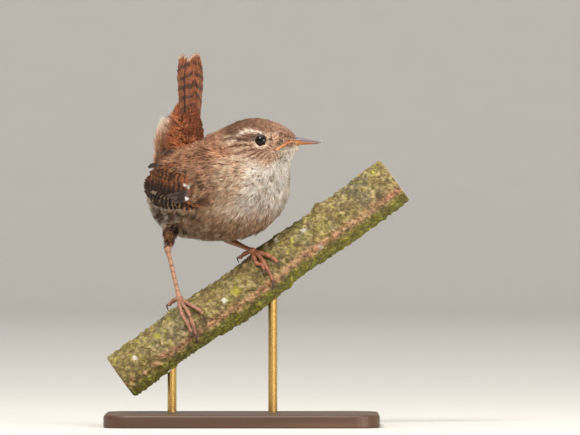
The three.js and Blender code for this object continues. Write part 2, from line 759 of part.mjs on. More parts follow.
add('torso', largest(bodyPiece(bodyFrame.origin, 7)
  .subtract(halfSpace(neckFoot, neckUp))
  .subtract(halfSpace(ventFoot, ventNormal))), 'breast');
add('vent', largest(ventPiece(0)), 'breast');
add('neck', largest(bodyPiece(neckMiddle, 5, 0, 26)
  .subtract(halfSpace(neckTop.clone().addScaledVector(neckUp, -GAP), neckUp))
  .subtract(halfSpace(neckFoot.clone().addScaledVector(neckUp, GAP), neckDown))), 'back');
add('head', headSolid(), 'back');
add('bill_upper', billUpper(), 'billUpper', 0.35);
add('bill_lower', billLower(), 'billLower', 0.35);
add('tail', largest(tailSolid().subtract(bodyCutter)), 'tail');
for (const [name, leg] of Object.entries(LEGS)) {
  add(`eye_${name}`, eyeBall(leg.side), 'eye', 0.05);
  add(`wing_${name}`, wingSolid(leg.side, bodyCutter), 'wing');
  add(`thigh_${name}`, thighSolid(leg, bodyCutter), 'breast');
  add(`tarsus_${name}`, tarsusSolid(leg), 'leg', 0.5);
  add(`foot_${name}`, footSolid(leg, branchCutter), 'leg', 0.5);
  for (const toe of Object.keys(leg.toes))
    add(`claw_${name}_${toe}`, clawSolid(leg, toe, branchCutter), 'claw', 0.4);
}
add('perch_branch', branchSolid(), 'bark', 0.95);
add('stand_base', standBase(), 'stand', 0.5);
ROD.alongBranch.forEach((along, i) => add(`stand_rod_${i + 1}`, standRod(along), 'rod', 0.3, 1));

export default wren;
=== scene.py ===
"""The looks of a life-size wren on a short length of branch, held by a plain display stand.

Shapes are worked out in millimetres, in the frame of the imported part, and written to Blender in metres.
Directions: +Z up, -Y towards the viewer. The body heads between +X and -Y, and the head looks nearly
along +X.
"""
import math

import bmesh
import bpy
import numpy as np
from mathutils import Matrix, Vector


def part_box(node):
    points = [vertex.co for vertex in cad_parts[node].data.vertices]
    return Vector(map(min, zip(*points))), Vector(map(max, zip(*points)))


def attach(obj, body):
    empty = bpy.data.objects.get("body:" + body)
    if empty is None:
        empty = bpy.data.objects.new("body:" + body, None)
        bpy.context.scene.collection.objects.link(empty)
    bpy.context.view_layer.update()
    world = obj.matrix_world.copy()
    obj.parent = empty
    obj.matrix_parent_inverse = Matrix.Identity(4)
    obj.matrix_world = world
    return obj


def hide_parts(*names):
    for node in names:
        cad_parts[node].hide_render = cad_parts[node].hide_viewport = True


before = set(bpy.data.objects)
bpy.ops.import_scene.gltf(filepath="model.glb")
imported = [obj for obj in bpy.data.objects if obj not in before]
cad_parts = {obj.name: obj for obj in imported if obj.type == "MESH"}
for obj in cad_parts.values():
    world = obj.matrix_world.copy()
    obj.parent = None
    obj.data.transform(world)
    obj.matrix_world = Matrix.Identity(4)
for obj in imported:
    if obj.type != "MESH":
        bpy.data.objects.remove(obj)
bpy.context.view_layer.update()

MM = 0.001
rng = np.random.default_rng(20)


# Colours, as the eye sees them: red, green and blue from 0 to 255

# The forehead's colour is a painted highlight on the front of the crown
CROWN, CROWN_STREAK, FOREHEAD_HIGHLIGHT = (130, 96, 75), (84, 58, 44), (158, 124, 102)
MANTLE, MANTLE_BAR = (196, 144, 111), (104, 69, 48)
BROW, EYE_STRIPE = (230, 209, 190), (88, 62, 48)
CHEEK, CHEEK_STREAK = (196, 163, 138), (102, 70, 53)
LORE, LORE_SPOT = (206, 170, 140), (80, 54, 42)
THROAT, BREAST, BREAST_SIDE, CHIN = (238, 219, 204), (250, 227, 211), (214, 176, 147), (240, 226, 210)
BELLY, BELLY_SHADE = (166, 128, 96), (106, 78, 56)
FLANK, FLANK_BAR, FLANK_TIP = (128, 98, 76), (42, 32, 26), (222, 206, 188)
VENT, VENT_PALE, VENT_DARK, RUMP = (124, 82, 57), (166, 130, 102), (50, 43, 40), (138, 79, 47)
THIGH, THIGH_BAR = (114, 79, 54), (62, 42, 31)
WING, WING_BAR, WING_EDGE = (124, 65, 32), (20, 14, 11), (170, 130, 94)
WING_COVERT, TERTIAL = (138, 82, 50), (134, 77, 42)
ALULA, SPOT = (86, 70, 64), (214, 208, 202)
LOOSE_PALE, LOOSE_DARK, LOOSE_SHAFT = (112, 94, 84), (60, 50, 42), (30, 24, 20)
TAIL, TAIL_DEEP, TAIL_BAR, TAIL_TIP = (138, 81, 50), (108, 61, 37), (56, 36, 31), (200, 172, 148)
TAIL_SHAFT = (104, 60, 42)
BILL_TOP, BILL_EDGE, BILL_LOW, GAPE = (92, 86, 96), (146, 86, 44), (190, 116, 50), (190, 120, 56)
MOUTH, NOSTRIL, BILL_TIP, BILL_LOW_TIP = (58, 34, 24), (34, 28, 28), (58, 52, 58), (92, 72, 62)
# The left leg's colour is the leg colour made darker and more orange: painted shade and painted warm light
# from the belly on the far leg
LEG, FOOT, LEG_LEFT_SHADED, LEG_DARK = (162, 121, 95), (146, 102, 78), (142, 88, 58), (84, 52, 38)
CLAW = (84, 56, 46)
EYE, IRIS, LID, LID_PALE = (7, 6, 6), (34, 22, 16), (110, 84, 68), (226, 202, 176)
LICHEN, LICHEN_PALE, LICHEN_GREY = (123, 107, 67), (152, 136, 96), (112, 102, 76)
LICHEN_WHITE = (206, 206, 198)
MOSS, MOSS_BRIGHT, BARK, BARK_DARK = (106, 104, 40), (146, 142, 52), (156, 114, 86), (70, 58, 38)
CUT_WOOD, CUT_RING = (190, 158, 116), (142, 108, 74)
STAND_WOOD, STAND_GRAIN, BRASS = (96, 66, 44), (62, 40, 26), (196, 160, 96)
FLOOR = (200, 196, 188)


def linear(colour):
    """A colour as light, the way shaders take it."""
    c = np.asarray(colour, float) / 255
    return np.where(c <= 0.04045, c / 12.92, ((c + 0.055) / 1.055) ** 2.4)


def mix(a, b, share):
    """Between two colours, or rows of colours, by a share or a column of shares."""
    share = np.asarray(share, float)
    a, b = np.asarray(a, float), np.asarray(b, float)
    if share.ndim and share.shape[-1:] != (1,):
        share = share[..., None]
    return a * (1 - share) + b * share


def paint(tint, *coats):
    """A tint with colours laid over it one after another, each by its own share."""
    for colour, share in coats:
        tint = mix(tint, colour, share)
    return tint


def smooth(value, low, high):
    """0 below low, 1 above high, and an easy rise between them. high may be the smaller."""
    t = np.clip((value - low) / (high - low), 0, 1)
    return t * t * (3 - 2 * t)


def bump(value, middle, reach):
    """1 at the middle, falling off to both sides over about the reach."""
    return np.exp(-((value - middle) / reach) ** 2)


def circle(count):
    """Angles spread evenly round a circle."""
    return np.linspace(0, 2 * math.pi, count, endpoint=False)


def unit(vectors):
    """Vectors made one long."""
    return vectors / np.maximum(np.linalg.norm(vectors, axis=-1, keepdims=True), 1e-9)


# Soft random values in space

LATTICE = 64
lattice_values = np.random.default_rng(7).random((LATTICE, LATTICE, LATTICE))


def noise(points, size):
    """Smooth random values from 0 to 1 at points, with features of about one size."""
    q = np.asarray(points, float) / size + 100.5
    cell = np.floor(q).astype(int)
    t = q - cell
    t = t * t * (3 - 2 * t)
    total = 0
    for corner in np.ndindex(2, 2, 2):
        i, j, k = ((cell + corner) % LATTICE).T
        weight = np.prod(np.where(np.array(corner) == 1, t, 1 - t), axis=1)
        total = total + weight * lattice_values[i, j, k]
    return total


def cloud(points, size, octaves=3):
    """Noise of several sizes laid together, each half the size and weight of the one before."""
    total = sum(noise(points, size / 2 ** n) / 2 ** n for n in range(octaves))
    return total / sum(1 / 2 ** n for n in range(octaves))


# Frames: forward, left and up, turned about the vertical

class Frame:
    """Places and directions as forward, left and up of a middle point."""

    def __init__(self, origin, heading):
        angle = math.radians(heading)
        self.origin = np.array(origin, float)
        self.axes = np.array([[math.cos(angle), -math.sin(angle), 0],
                              [math.sin(angle), math.cos(angle), 0],
                              [0, 0, 1]])

    def out(self, local):
        """Points of the part from places in this frame."""
        return self.origin + np.asarray(local, float) @ self.axes

    def into(self, points):
        """Places in this frame from points of the part."""
        return (np.asarray(points, float) - self.origin) @ self.axes.T

    def turn(self, vectors):
        """Directions of the part from directions in this frame."""
        return np.asarray(vectors, float) @ self.axes


body = Frame((-7, 1, 82.6), 45)
head = Frame(body.out((15.9, 1.3, 14.7)), 9)

EYE_AT = np.array([2.7, 6.9, 2.3])
EYE_RADIUS = 2.5
EYE_OPENING = 2.12
EYE_FACING = np.array([0.12, 1, 0.05])
BILL_ROOT = np.array([9.6, 0, 1.6])

# The body's rounded masses: which frame, middle and radii
MASSES = [
    (body, (0, 0, 0), (24, 18, 17.5)),
    (body, (9.5, 0, 3), (16, 16.5, 16)),
    (body, (-14.5, 0, -1), (13.5, 17.2, 15)),
    (body, (-22, 0, 12), (6.5, 8.5, 11)),
    (body, (-20, 0, 20), (3.8, 5.4, 10.5)),
    (body, (7, 0, 10), (13, 12, 10.5)),
    (head, (0, 0, 0), (12, 9.4, 10)),
    (head, (1.2, 0, -7.5), (7.8, 8.4, 9)),
    (head, (7.5, 0, 1.9), (5.1, 4.5, 3.5)),
    (head, (9.4, 0, 0.4), (3.2, 2.1, 1.2)),
]
BLEND = 5
THIGHS = {
    "right": (body.out((-14.5, -9, -9.5)), np.array([-26, -3.6, 62.0])),
    "left": (body.out((-3, 8, -9)), np.array([-5, 9.6, 65.2])),
}
THIGH_TOP, THIGH_END, THIGH_BLEND = 4.7, 1.3, 3.0
WING_FRONT, WING_TIP, WING_RISE, WING_DROP = 9, -29, 6.5, 1.5
WING_HEIGHT = 1.7


def along_thigh(points, side):
    """How far down a thigh points are, from 0 to 1, and how far from its middle line."""
    hip, ankle = THIGHS[side]
    line = ankle - hip
    share = np.clip((points - hip) @ line / (line @ line), 0, 1)
    return share, np.linalg.norm(points - hip - share[:, None] * line, axis=1)


def blended(a, b, reach):
    """The smaller of two distances, rounded off where they are alike."""
    share = np.maximum(reach - np.abs(a - b), 0) / reach
    return np.minimum(a, b) - share * share * reach / 4


def distance(points):
    """How far outside the body's outline points lie, in millimetres. Inside is negative."""
    local = {id(body): body.into(points), id(head): head.into(points)}
    nearest = np.full(len(points), 1e3)
    for owner, at, radii in MASSES:
        away = (local[id(owner)] - at) / radii
        scaled = np.linalg.norm(away, axis=1)
        steep = np.maximum(np.linalg.norm(away / radii, axis=1), 1e-9)
        nearest = blended(nearest, scaled * (scaled - 1) / steep, BLEND)
    for side in THIGHS:
        share, away = along_thigh(points, side)
        radius = THIGH_TOP + (THIGH_END - THIGH_TOP) * share ** 0.8
        nearest = blended(nearest, away - radius, THIGH_BLEND)
    return nearest


def outward(points):
    """The direction straight out of the body at points."""
    step = 0.05
    here = distance(points)
    slope = np.stack([distance(points + step * axis) - here for axis in np.eye(3)], axis=1)
    return unit(slope)


def settle(points, level, rounds=3):
    """Points moved straight out or in until they lie at a level over the body's outline."""
    for _ in range(rounds):
        points = points + (level - distance(points))[:, None] * outward(points)
    return points


def eye_distance(points):
    """How far points on the head's side are from the middle of the nearer eye's opening."""
    local = head.into(points)
    local[:, 1] = np.abs(local[:, 1])
    facing = unit(EYE_FACING)
    away = local - EYE_AT
    return np.linalg.norm(away - (away @ facing)[:, None] * facing, axis=1) + 9 * (local[:, 1] < 3)


def headness(points):
    """1 on the head, 0 on the body."""
    local = head.into(points)
    return smooth(local[:, 2] + 0.45 * local[:, 0], -7, -2) * smooth(local[:, 0], -15, -8)


def coat_depth(points):
    """How deep the coat is at points: less on the head, least at the bill and round the eyes."""
    near_bill = bump(np.linalg.norm(head.into(points) - BILL_ROOT, axis=1), 0, 5)
    near_eye = bump(eye_distance(points), 0, 3.2)
    deep = (2.1 - 1.25 * headness(points)) * (1 - 0.6 * near_bill)
    return deep * (1 - near_eye) + 1.0 * near_eye


def wing_line(f):
    """How high the middle of a folded wing lies at places along the body."""
    return 0.6 - 0.17 * (f - WING_FRONT)


def wing_side(f, u):
    """How far out from the body's middle plane a wing lies."""
    return 19 - (f - 2) ** 2 / 190 - (u + 1) ** 2 / 42


def wing_rise(along):
    """The share of its height that a row of the wing has reached, growing from the bend backwards."""
    return smooth(along, -3, 6)


# Blender meshes

def outside_out(points, faces):
    """The faces of closed shapes, all turned over where they would face inwards."""
    place = np.asarray(points, float) - np.mean(points, axis=0)
    volume = 0
    for k in range(1, faces.shape[1] - 1):
        normals = np.cross(place[faces[:, k]], place[faces[:, k + 1]])
        volume += np.einsum("ij,ij->", place[faces[:, 0]], normals)
    return faces if volume >= 0 else faces[:, ::-1]


def ring_quads(rows, sides):
    """Quads between rows of points, each of which goes round in a ring."""
    i, j = np.meshgrid(np.arange(rows - 1), np.arange(sides), indexing="ij")
    a, b = i * sides + j, i * sides + (j + 1) % sides
    return np.stack([a, a + sides, b + sides, b], axis=-1).reshape(-1, 4)


def make_object(name, points, faces, material, colours=None, spots=None, flat=False):
    """A mesh object from millimetre points. spots gives each point its place on the map OFBake."""
    faces = outside_out(points, np.asarray(faces, np.int32))
    sides = faces.shape[1]
    mesh = bpy.data.meshes.new(name)
    mesh.vertices.add(len(points))
    mesh.vertices.foreach_set("co", (np.asarray(points) * MM).astype(np.float32).ravel())
    mesh.loops.add(faces.size)
    mesh.loops.foreach_set("vertex_index", faces.ravel())
    mesh.polygons.add(len(faces))
    mesh.polygons.foreach_set("loop_start", np.arange(0, faces.size, sides, dtype=np.int32))
    mesh.polygons.foreach_set("loop_total", np.full(len(faces), sides, np.int32))
    mesh.polygons.foreach_set("use_smooth", np.full(len(faces), not flat))
    if colours is not None:
        layer = mesh.color_attributes.new("Tint", "FLOAT_COLOR", "POINT")
        rgba = np.ones((len(points), 4), np.float32)
        rgba[:, :3] = linear(np.clip(colours, 0, 255))
        layer.data.foreach_set("color", rgba.ravel())
    if spots is not None:
        layer = mesh.uv_layers.new(name="OFBake")
        layer.data.foreach_set("uv", spots[faces.ravel()].astype(np.float32).ravel())
    mesh.update(calc_edges=True)
    mesh.validate()
    mesh.materials.append(material)
    piece = bpy.data.objects.new(name, mesh)
    bpy.context.scene.collection.objects.link(piece)
    return piece


def add_piece(name, shape, material, *nodes, **more):
    """A piece from points, faces and colours. It rides on the part's one body, and stands for the nodes."""
    points, faces, colours = shape
    piece = make_object(name, points, faces, material, colours, **more)
    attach(piece, "root")
    if nodes:
        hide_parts(*nodes)


# Materials

def add_node(tree, kind, values=()):
    """A node with values for its inputs."""
    node = tree.nodes.new(kind)
    for name, value in dict(values).items():
        node.inputs[name].default_value = value
    return node


def make_material(name, roughness, grain, grain_share, bump_mm, tint=None, stretch=(1, 1, 1),
                  specular=0.4, coat=0.0, rough_share=0.15, metallic=0.0):
    """A material whose colour is the mesh's own tint or one colour, varied by fine noise that also sets
    the bump and the roughness. grain is how fine the noise is, and the shares say how much it does."""
    material = bpy.data.materials.new(name)
    material.use_nodes = True
    tree = material.node_tree
    shader = tree.nodes["Principled BSDF"]
    settings = {"Specular IOR Level": specular, "Metallic": metallic, "Coat Weight": coat,
                "Coat Roughness": 0.04}
    for setting, value in settings.items():
        shader.inputs[setting].default_value = value

    def wire(source, output, target, socket):
        tree.links.new(source.outputs[output], target.inputs[socket])

    place = add_node(tree, "ShaderNodeTexCoord")
    turn = add_node(tree, "ShaderNodeMapping", {"Scale": stretch})
    fine = add_node(tree, "ShaderNodeTexNoise", {"Scale": grain, "Detail": 4.0, "Roughness": 0.6})
    shade = add_node(tree, "ShaderNodeMapRange", {"To Min": 1 - grain_share, "To Max": 1 + grain_share})
    product = add_node(tree, "ShaderNodeVectorMath")
    product.operation = "SCALE"
    wire(place, "Object", turn, "Vector")
    wire(turn, "Vector", fine, "Vector")
    wire(fine, "Fac", shade, "Value")
    wire(shade, "Result", product, "Scale")
    if tint is None:
        own = add_node(tree, "ShaderNodeVertexColor")
        own.layer_name = "Tint"
        wire(own, "Color", product, 0)
    else:
        product.inputs[0].default_value = tuple(linear(tint))
    wire(product, "Vector", shader, "Base Color")
    rough = add_node(tree, "ShaderNodeMapRange",
                     {"To Min": roughness - rough_share, "To Max": roughness + rough_share})
    wire(fine, "Fac", rough, "Value")
    wire(rough, "Result", shader, "Roughness")
    raised = add_node(tree, "ShaderNodeBump", {"Distance": bump_mm * MM})
    wire(fine, "Fac", raised, "Height")
    wire(raised, "Normal", shader, "Normal")
    return material


# Each look: roughness, fineness of grain, how much the grain changes the colour, and bump in millimetres
feather_look = make_material("feather", 0.7, 1500, 0.12, 0.03, specular=0.2)
vane_look = make_material("vane", 0.62, 2200, 0.2, 0.05, specular=0.16)
skin_look = make_material("down", 0.85, 1600, 0.3, 0.15, specular=0.1)
bill_look = make_material("bill", 0.28, 700, 0.12, 0.02, specular=0.5, rough_share=0.1)
leg_look = make_material("scaled_skin", 0.45, 1400, 0.2, 0.05, specular=0.45)
claw_look = make_material("claw", 0.35, 900, 0.2, 0.02, specular=0.5)
eye_look = make_material("eye", 0.07, 300, 0.3, 0.0, specular=0.08, coat=0.3, rough_share=0.03)
lid_look = make_material("lid", 0.6, 1800, 0.25, 0.06)
bark_look = make_material("bark_and_lichen", 0.9, 1300, 0.3, 0.25, specular=0.2, rough_share=0.1)
wood_look = make_material("stand_wood", 0.42, 260, 0.3, 0.05, stretch=(0.12, 1, 1), specular=0.5)
brass_look = make_material("stand_brass", 0.3, 900, 0.1, 0.01, tint=BRASS, metallic=1.0)
floor_look = make_material("floor", 0.85, 30, 0.02, 0.1, tint=FLOOR, specular=0.2)


# The lie of the coat

def lie(points, normals):
    """The way feathers point: away from the bill, back over the body, and up behind the tail."""
    from_bill = points - head.out(BILL_ROOT)
    near = np.linalg.norm(from_bill, axis=1)
    on_head = np.exp(-near / 13)
    f, side, u = body.into(points).T
    over_wing = bump(u - wing_line(f), 6.5, 2.6) * smooth(np.abs(side), 8, 11) * smooth(f, -20, -14)
    fall = -0.42 + 0.32 * smooth(u, 3, 8) - 0.5 * over_wing
    back = body.turn(np.stack([np.full(len(points), -1.0), np.zeros(len(points)), fall], axis=1))
    way = unit(from_bill) * (2.4 * on_head)[:, None] + back
    vent = smooth(f, -17, -24) * smooth(u, 0, 7)
    rising = body.turn(np.array([0.3, 0.0, 1.0]))
    way = way * (1 - vent)[:, None] + rising * (2 * vent)[:, None]
    for name, (hip, ankle) in THIGHS.items():
        share, away = along_thigh(points, name)
        on_thigh = smooth(share, 0.35, 0.6) * smooth(away, 6, 4)
        way = way * (1 - on_thigh)[:, None] + unit(ankle - hip) * (2 * on_thigh)[:, None]
    way = unit(way - (way * normals).sum(axis=1)[:, None] * normals)
    swirl = 0.9 * (noise(points, 4.5) - 0.5) + 0.5 * (noise(points, 1.8) - 0.5)
    return unit(way + swirl[:, None] * np.cross(normals, way))


# Markings

# Where the white spots are, along a wing and up it
WHITE_SPOTS = [(6.6, 2.0), (5.0, 1.6), (2.4, -1.5), (5.4, -2.6)]


def white_spots(points):
    """1 inside the few white spots of the wing's coverts."""
    f, _, u = body.into(points).T
    along = WING_FRONT - f
    up = u - WING_RISE * along / (WING_FRONT - WING_TIP) + WING_DROP
    away = np.min([np.hypot((along - a) / 1.3, up - b) for a, b in WHITE_SPOTS], axis=0)
    return smooth(away + 0.7 * (noise(points, 0.6) - 0.5), 0.7, 0.4)


def head_tint(points):
    """The head's markings at points near it."""
    local = head.into(points)
    f, u, out = local[:, 0], local[:, 2], np.abs(local[:, 1])
    side, near_side = smooth(out, 2.5, 5), smooth(out, 0.8, 2.6)
    soft, fine, spotted = cloud(points, 2.2), noise(points, 0.7), noise(points, 0.95)
    from_eye = eye_distance(points)
    from_bill = np.hypot(f - BILL_ROOT[0], u - BILL_ROOT[2])
    angle = np.arctan2(u - BILL_ROOT[2], BILL_ROOT[0] - f)
    wave = 0.5 + 0.5 * np.sin(angle * 40 + 7 * cloud(points, 2.6) + 2 * fine)
    cheek = mix(CHEEK, CHEEK_STREAK, smooth(wave, 0.4, 0.85) * 0.9 * smooth(from_bill, 4, 8))
    crown = mix(CROWN, CROWN_STREAK, smooth(fine * 0.6 + soft * 0.4, 0.42, 0.68) * 0.8)
    # Painted highlight: the crown grows lighter towards the bill
    crown = mix(crown, FOREHEAD_HIGHLIGHT, 0.45 * smooth(f, 4.5, 8.5))
    throat = smooth(u - 0.6 * (f - 6.4) + 3 * (soft - 0.5), -3.8, -7.4)

    brow_middle = 5.8 - (f + 2) ** 2 * np.where(f > -2, 0.036, 0.1)
    tufted = 0.5 + 0.5 * np.sin(3.1 * f + 1.6 * u + 3 * (soft - 0.5))
    brow = bump(u, brow_middle + 0.35 * (tufted - 0.5), 0.75) * smooth(f, 5.4, 3.2)
    brow = brow * smooth(f, -7.4, -5.4) * side
    brow = 1.2 * brow * smooth(fine + 0.5 * tufted + 0.2 * bump(f, 0, 4), 0.4, 0.8)
    broken = bump(u, 4.5, 0.9) * smooth(f, 9.4, 8.2) * smooth(f, 3.4, 4.6) * near_side
    brow = np.maximum(brow, broken * smooth(spotted, 0.45, 0.56))
    flecks = smooth(noise(points, 1.0), 0.52, 0.62) * bump(u, 2.9, 1.2)
    flecks = flecks * smooth(f, -5.5, -7.5) * smooth(f, -14.5, -11.5) * side

    stripe = bump(u, 3.3 + 0.1 * (f + 1), 0.9) * smooth(f, 1.5, -0.5) * smooth(f, -9.5, -5.5) * side
    stripe = np.maximum(stripe, 0.8 * bump(u, brow_middle - 1.25, 0.4) * bump(f, 5.6, 1.6) * side)
    lore = bump(f, 7.0, 2.6) * bump(u, 2.7, 1.9) * near_side
    lore_colour = mix(LORE, LORE_SPOT, smooth(0.6 * spotted + 0.4 * fine, 0.48, 0.6))
    ring = bump(from_eye, EYE_OPENING + 0.45, 0.42)
    rays = 0.5 + 0.5 * np.sin(np.arctan2(u - EYE_AT[2], f - EYE_AT[0]) * 24)
    under = bump(from_eye, 3.7, 1.0) * smooth(u, 2.2, 0.6)
    return paint(
        cheek,
        (crown, smooth(u + 0.05 * f, 3.4, 4.4)),
        (THROAT, throat),
        (CHIN, smooth(u - 0.14 * (f - 6), -0.5, -1.5) * smooth(f, 7, 11)),
        (BREAST_SIDE, smooth(u - 0.3 * f, -3.5, -6.5) * (1 - throat) * 0.6),
        (EYE_STRIPE, 0.9 * stripe),
        (BROW, np.clip(1.1 * np.maximum(brow * (0.6 + 0.6 * fine), flecks), 0, 1)),
        (lore_colour, np.clip(1.4 * lore, 0, 1)),
        (BROW, 0.75 * ring * smooth(u - EYE_AT[2], 3.5, -0.5)),
        (CHEEK_STREAK, under * smooth(rays, 0.45, 0.85)))


def fluff_tint(f, side, u, share, soft, fine):
    """The downy feathers under the tail and behind it."""
    grey = np.maximum(bump(u, 13, 3) * bump(side, 7.5, 3), 0.6 * bump(u, 8, 3)) * smooth(f, -27, -22)
    return paint(
        VENT,
        (VENT_PALE, smooth(f, -22, -27) * smooth(share, 0.2, 0.9)),
        (RUMP, 0.75 * smooth(f, -21.5, -18.5) * smooth(u, 11, 15)),
        (VENT_DARK, 0.85 * smooth(0.7 * fine + 0.8 * grey, 0.55, 0.95)),
        (FLANK_TIP, 0.5 * smooth(share, 0.8, 0.97) * smooth(u, 18, 23) * smooth(soft, 0.45, 0.58)))


def body_tint(points, share):
    """The body's markings at points, where share is how far along its feather each point is."""
    local = body.into(points)
    f, side, u = local[:, 0], np.abs(local[:, 1]), local[:, 2]
    soft, fine, streak = cloud(points, 4.0), noise(points, 0.8), noise(points, 1.5)
    low = smooth(u, -1, -7)
    barred = smooth(np.sin(share * 14 + 30 * soft), 0.0, 0.6)
    mantle = mix(MANTLE, MANTLE_BAR, 0.6 * smooth(fine + 0.3 * barred, 0.5, 0.95))
    over_wing = smooth(side, 13, 16) * smooth(f, 15, 9) * smooth(u, -8, -3)
    flank = paint(
        FLANK,
        (FLANK_BAR, 0.65 * barred * smooth(fine, 0.2, 0.45)),
        (FLANK_TIP, 0.8 * smooth(share, 0.7, 0.95) * smooth(streak, 0.35, 0.55)))
    on_flank = smooth(f, 1, -9) * smooth(u, 7, 3)
    under = bump(u, -9.5, 2.4) * smooth(f, 11, 3) * smooth(side, 8, 12)
    dusky = bump(f, WING_FRONT, 3.5) * smooth(np.abs(u - wing_line(f) + 1), 7, 4) * smooth(side, 10, 13)
    fluff = fluff_tint(f, side, u, share, soft, fine)
    tint = paint(
        BREAST,
        (BREAST_SIDE, smooth(side + 0.3 * u + 7 * (soft - 0.5), 6, 16)),
        (THROAT, smooth(f, 10, 19) * smooth(u, -6, 5) * smooth(side, 13, 5) * 0.8),
        (BELLY, smooth(u + 5 * (soft - 0.5) + 0.15 * (f - 8), -4, -12) * 0.85),
        (BELLY_SHADE, smooth(u, -9, -15) * smooth(f, 16, 2) * 0.6),
        (BELLY_SHADE, (0.35 + 0.3 * low) * smooth(streak, 0.5, 0.7) * smooth(share, 0.95, 0.5)),
        (THROAT, (0.35 + 0.2 * low) * smooth(streak, 0.45, 0.25) * smooth(share, 0.5, 0.95)),
        (mantle, np.maximum(smooth(u + 0.28 * side - 0.2 * f, 10.5, 14.5), 0.75 * over_wing)),
        (flank, on_flank * (0.25 + 0.75 * smooth(side + 0.5 * np.maximum(-f, 0), 10, 18))),
        (FLANK_BAR, 0.5 * under * smooth(cloud(points, 2.0, 2), 0.35, 0.6)),
        (THIGH_BAR, 0.8 * dusky * smooth(noise(points, 1.3), 0.42, 0.58)),
        (fluff, smooth(f, -15, -19) * smooth(u, 3, 8)),
        (SPOT, white_spots(points) * smooth(side, 10, 13)),
        (RUMP, 0.85 * smooth(f, -8, -13) * smooth(u, 13.5, 16.5) * smooth(f, -22, -19)))
    for name in THIGHS:
        down, away = along_thigh(points, name)
        thigh = mix(THIGH, THIGH_BAR, 0.8 * smooth(np.sin(down * 60 + 4 * soft), 0, 0.7))
        tint = mix(tint, thigh, smooth(down, 0.4, 0.6) * smooth(away, 6.5, 4.5))
    return tint


def coat_tint(points, share):
    """The coat's colours: the body's markings, passing into the head's."""
    return mix(body_tint(points, share), head_tint(points), headness(points))


# The skin: one closed surface a coat's depth inside the outline

VOXEL = 0.85
THIGH_BALLS = 12


def unit_ball():
    """Points and triangles of a ball of radius 1."""
    ball = bpy.data.meshes.new("ball")
    shape = bmesh.new()
    bmesh.ops.create_icosphere(shape, subdivisions=4, radius=1)
    shape.to_mesh(ball)
    shape.free()
    points = np.empty(len(ball.vertices) * 3)
    ball.vertices.foreach_get("co", points)
    return points.reshape(-1, 3), np.array([tuple(p.vertices) for p in ball.polygons])


def skin_surface():
    """Points and triangles of the skin, from the masses joined by a voxel remesh and settled in place."""
    ball, triangles = unit_ball()
    balls = [(owner.out(np.array(at) + ball * radii)) for owner, at, radii in MASSES]
    for hip, ankle in THIGHS.values():
        balls += [hip + (ankle - hip) * s + ball * (THIGH_TOP + (THIGH_END - THIGH_TOP) * s)
                  for s in np.linspace(0, 1, THIGH_BALLS)]
    faces = [triangles + k * len(ball) for k in range(len(balls))]
    rough = make_object("rough", np.concatenate(balls), np.concatenate(faces), skin_look)
    modifier = rough.modifiers.new("remesh", "REMESH")
    modifier.mode = "VOXEL"
    modifier.voxel_size = VOXEL * MM
    whole = rough.evaluated_get(bpy.context.evaluated_depsgraph_get()).to_mesh()
    whole.calc_loop_triangles()
    points = np.empty(len(whole.vertices) * 3)
    whole.vertices.foreach_get("co", points)
    points = points.reshape(-1, 3) / MM
    triangles = np.empty(len(whole.loop_triangles) * 3, np.int32)
    whole.loop_triangles.foreach_get("vertices", triangles)
    bpy.data.objects.remove(rough)
    for _ in range(4):
        points = settle(points, -coat_depth(points), 1)
    return points, triangles.reshape(-1, 3)


def unwrap(points):
    """Each point's place on the map, as seen from the middle line. The body takes the lower two thirds,
    and the head the rest."""
    places = []
    for frame_of, back, long, low, high in ((head, 18, 34, 0.67, 0.31), (body, 36, 66, 0.02, 0.62)):
        local = frame_of.into(points)
        turn = np.arctan2(local[:, 1], local[:, 2]) / (2 * math.pi) + 0.5
        along = (local[:, 0] + back) / long
        places.append(np.stack([0.02 + 0.96 * turn, low + high * along], axis=1))
    on_head = (headness(points) > 0.5)[:, None]
    return np.clip(np.where(on_head, *places), 0.004, 0.996)


skin_points, skin_faces = skin_surface()
skin_colours = coat_tint(skin_points, np.full(len(skin_points), 0.5))
# The skin is the coat's colour darkened, less on the head: painted shade beneath the coat
skin_colours *= (0.82 + 0.12 * headness(skin_points))[:, None]
add_piece("skin", (skin_points, skin_faces, skin_colours), skin_look,
          "head", "neck", "torso", "vent", "thigh_left", "thigh_right", spots=unwrap(skin_points))


# The coat: tufts of tapered strands, rooted on the skin

TUFTS, STRANDS_A_TUFT, PIECE_STRANDS = 20500, 7, 18200
# How large a patch of the map a strand takes
PATCH = 0.003
# How far a strand is moved at most to lie over a wing
FARTHEST_MOVE = 2.4


def scatter(count, weight):
    """Random places on the skin, with more where the weight is greater."""
    a, b, c = (skin_points[skin_faces[:, i]] for i in range(3))
    area = np.linalg.norm(np.cross(b - a, c - a), axis=1)
    middle = (a + b + c) / 3
    chance = area * weight(middle)
    picked = rng.choice(len(area), count, p=chance / chance.sum())
    u, v = rng.random((2, count))
    flip = u + v > 1
    u, v = np.where(flip, 1 - u, u), np.where(flip, 1 - v, v)
    return a[picked] + u[:, None] * (b - a)[picked] + v[:, None] * (c - a)[picked]


def under_wing(points):
    """1 deep under a folded wing, 0 outside it."""
    f, side, u = body.into(points).T
    inside = smooth(f, -23, -19) * smooth(f, 9, 6.5) * smooth(np.abs(u - wing_line(f)), 5.6, 4.2)
    return inside * (np.abs(side) > 9)


def before_wing(points):
    """1 where the feathers root that lie over the front of a wing."""
    f, side, u = body.into(points).T
    near_line = smooth(np.abs(u - wing_line(f)), 8, 6)
    return bump(f, WING_FRONT + 1.5, 2.6) * near_line * smooth(np.abs(side), 8, 10)


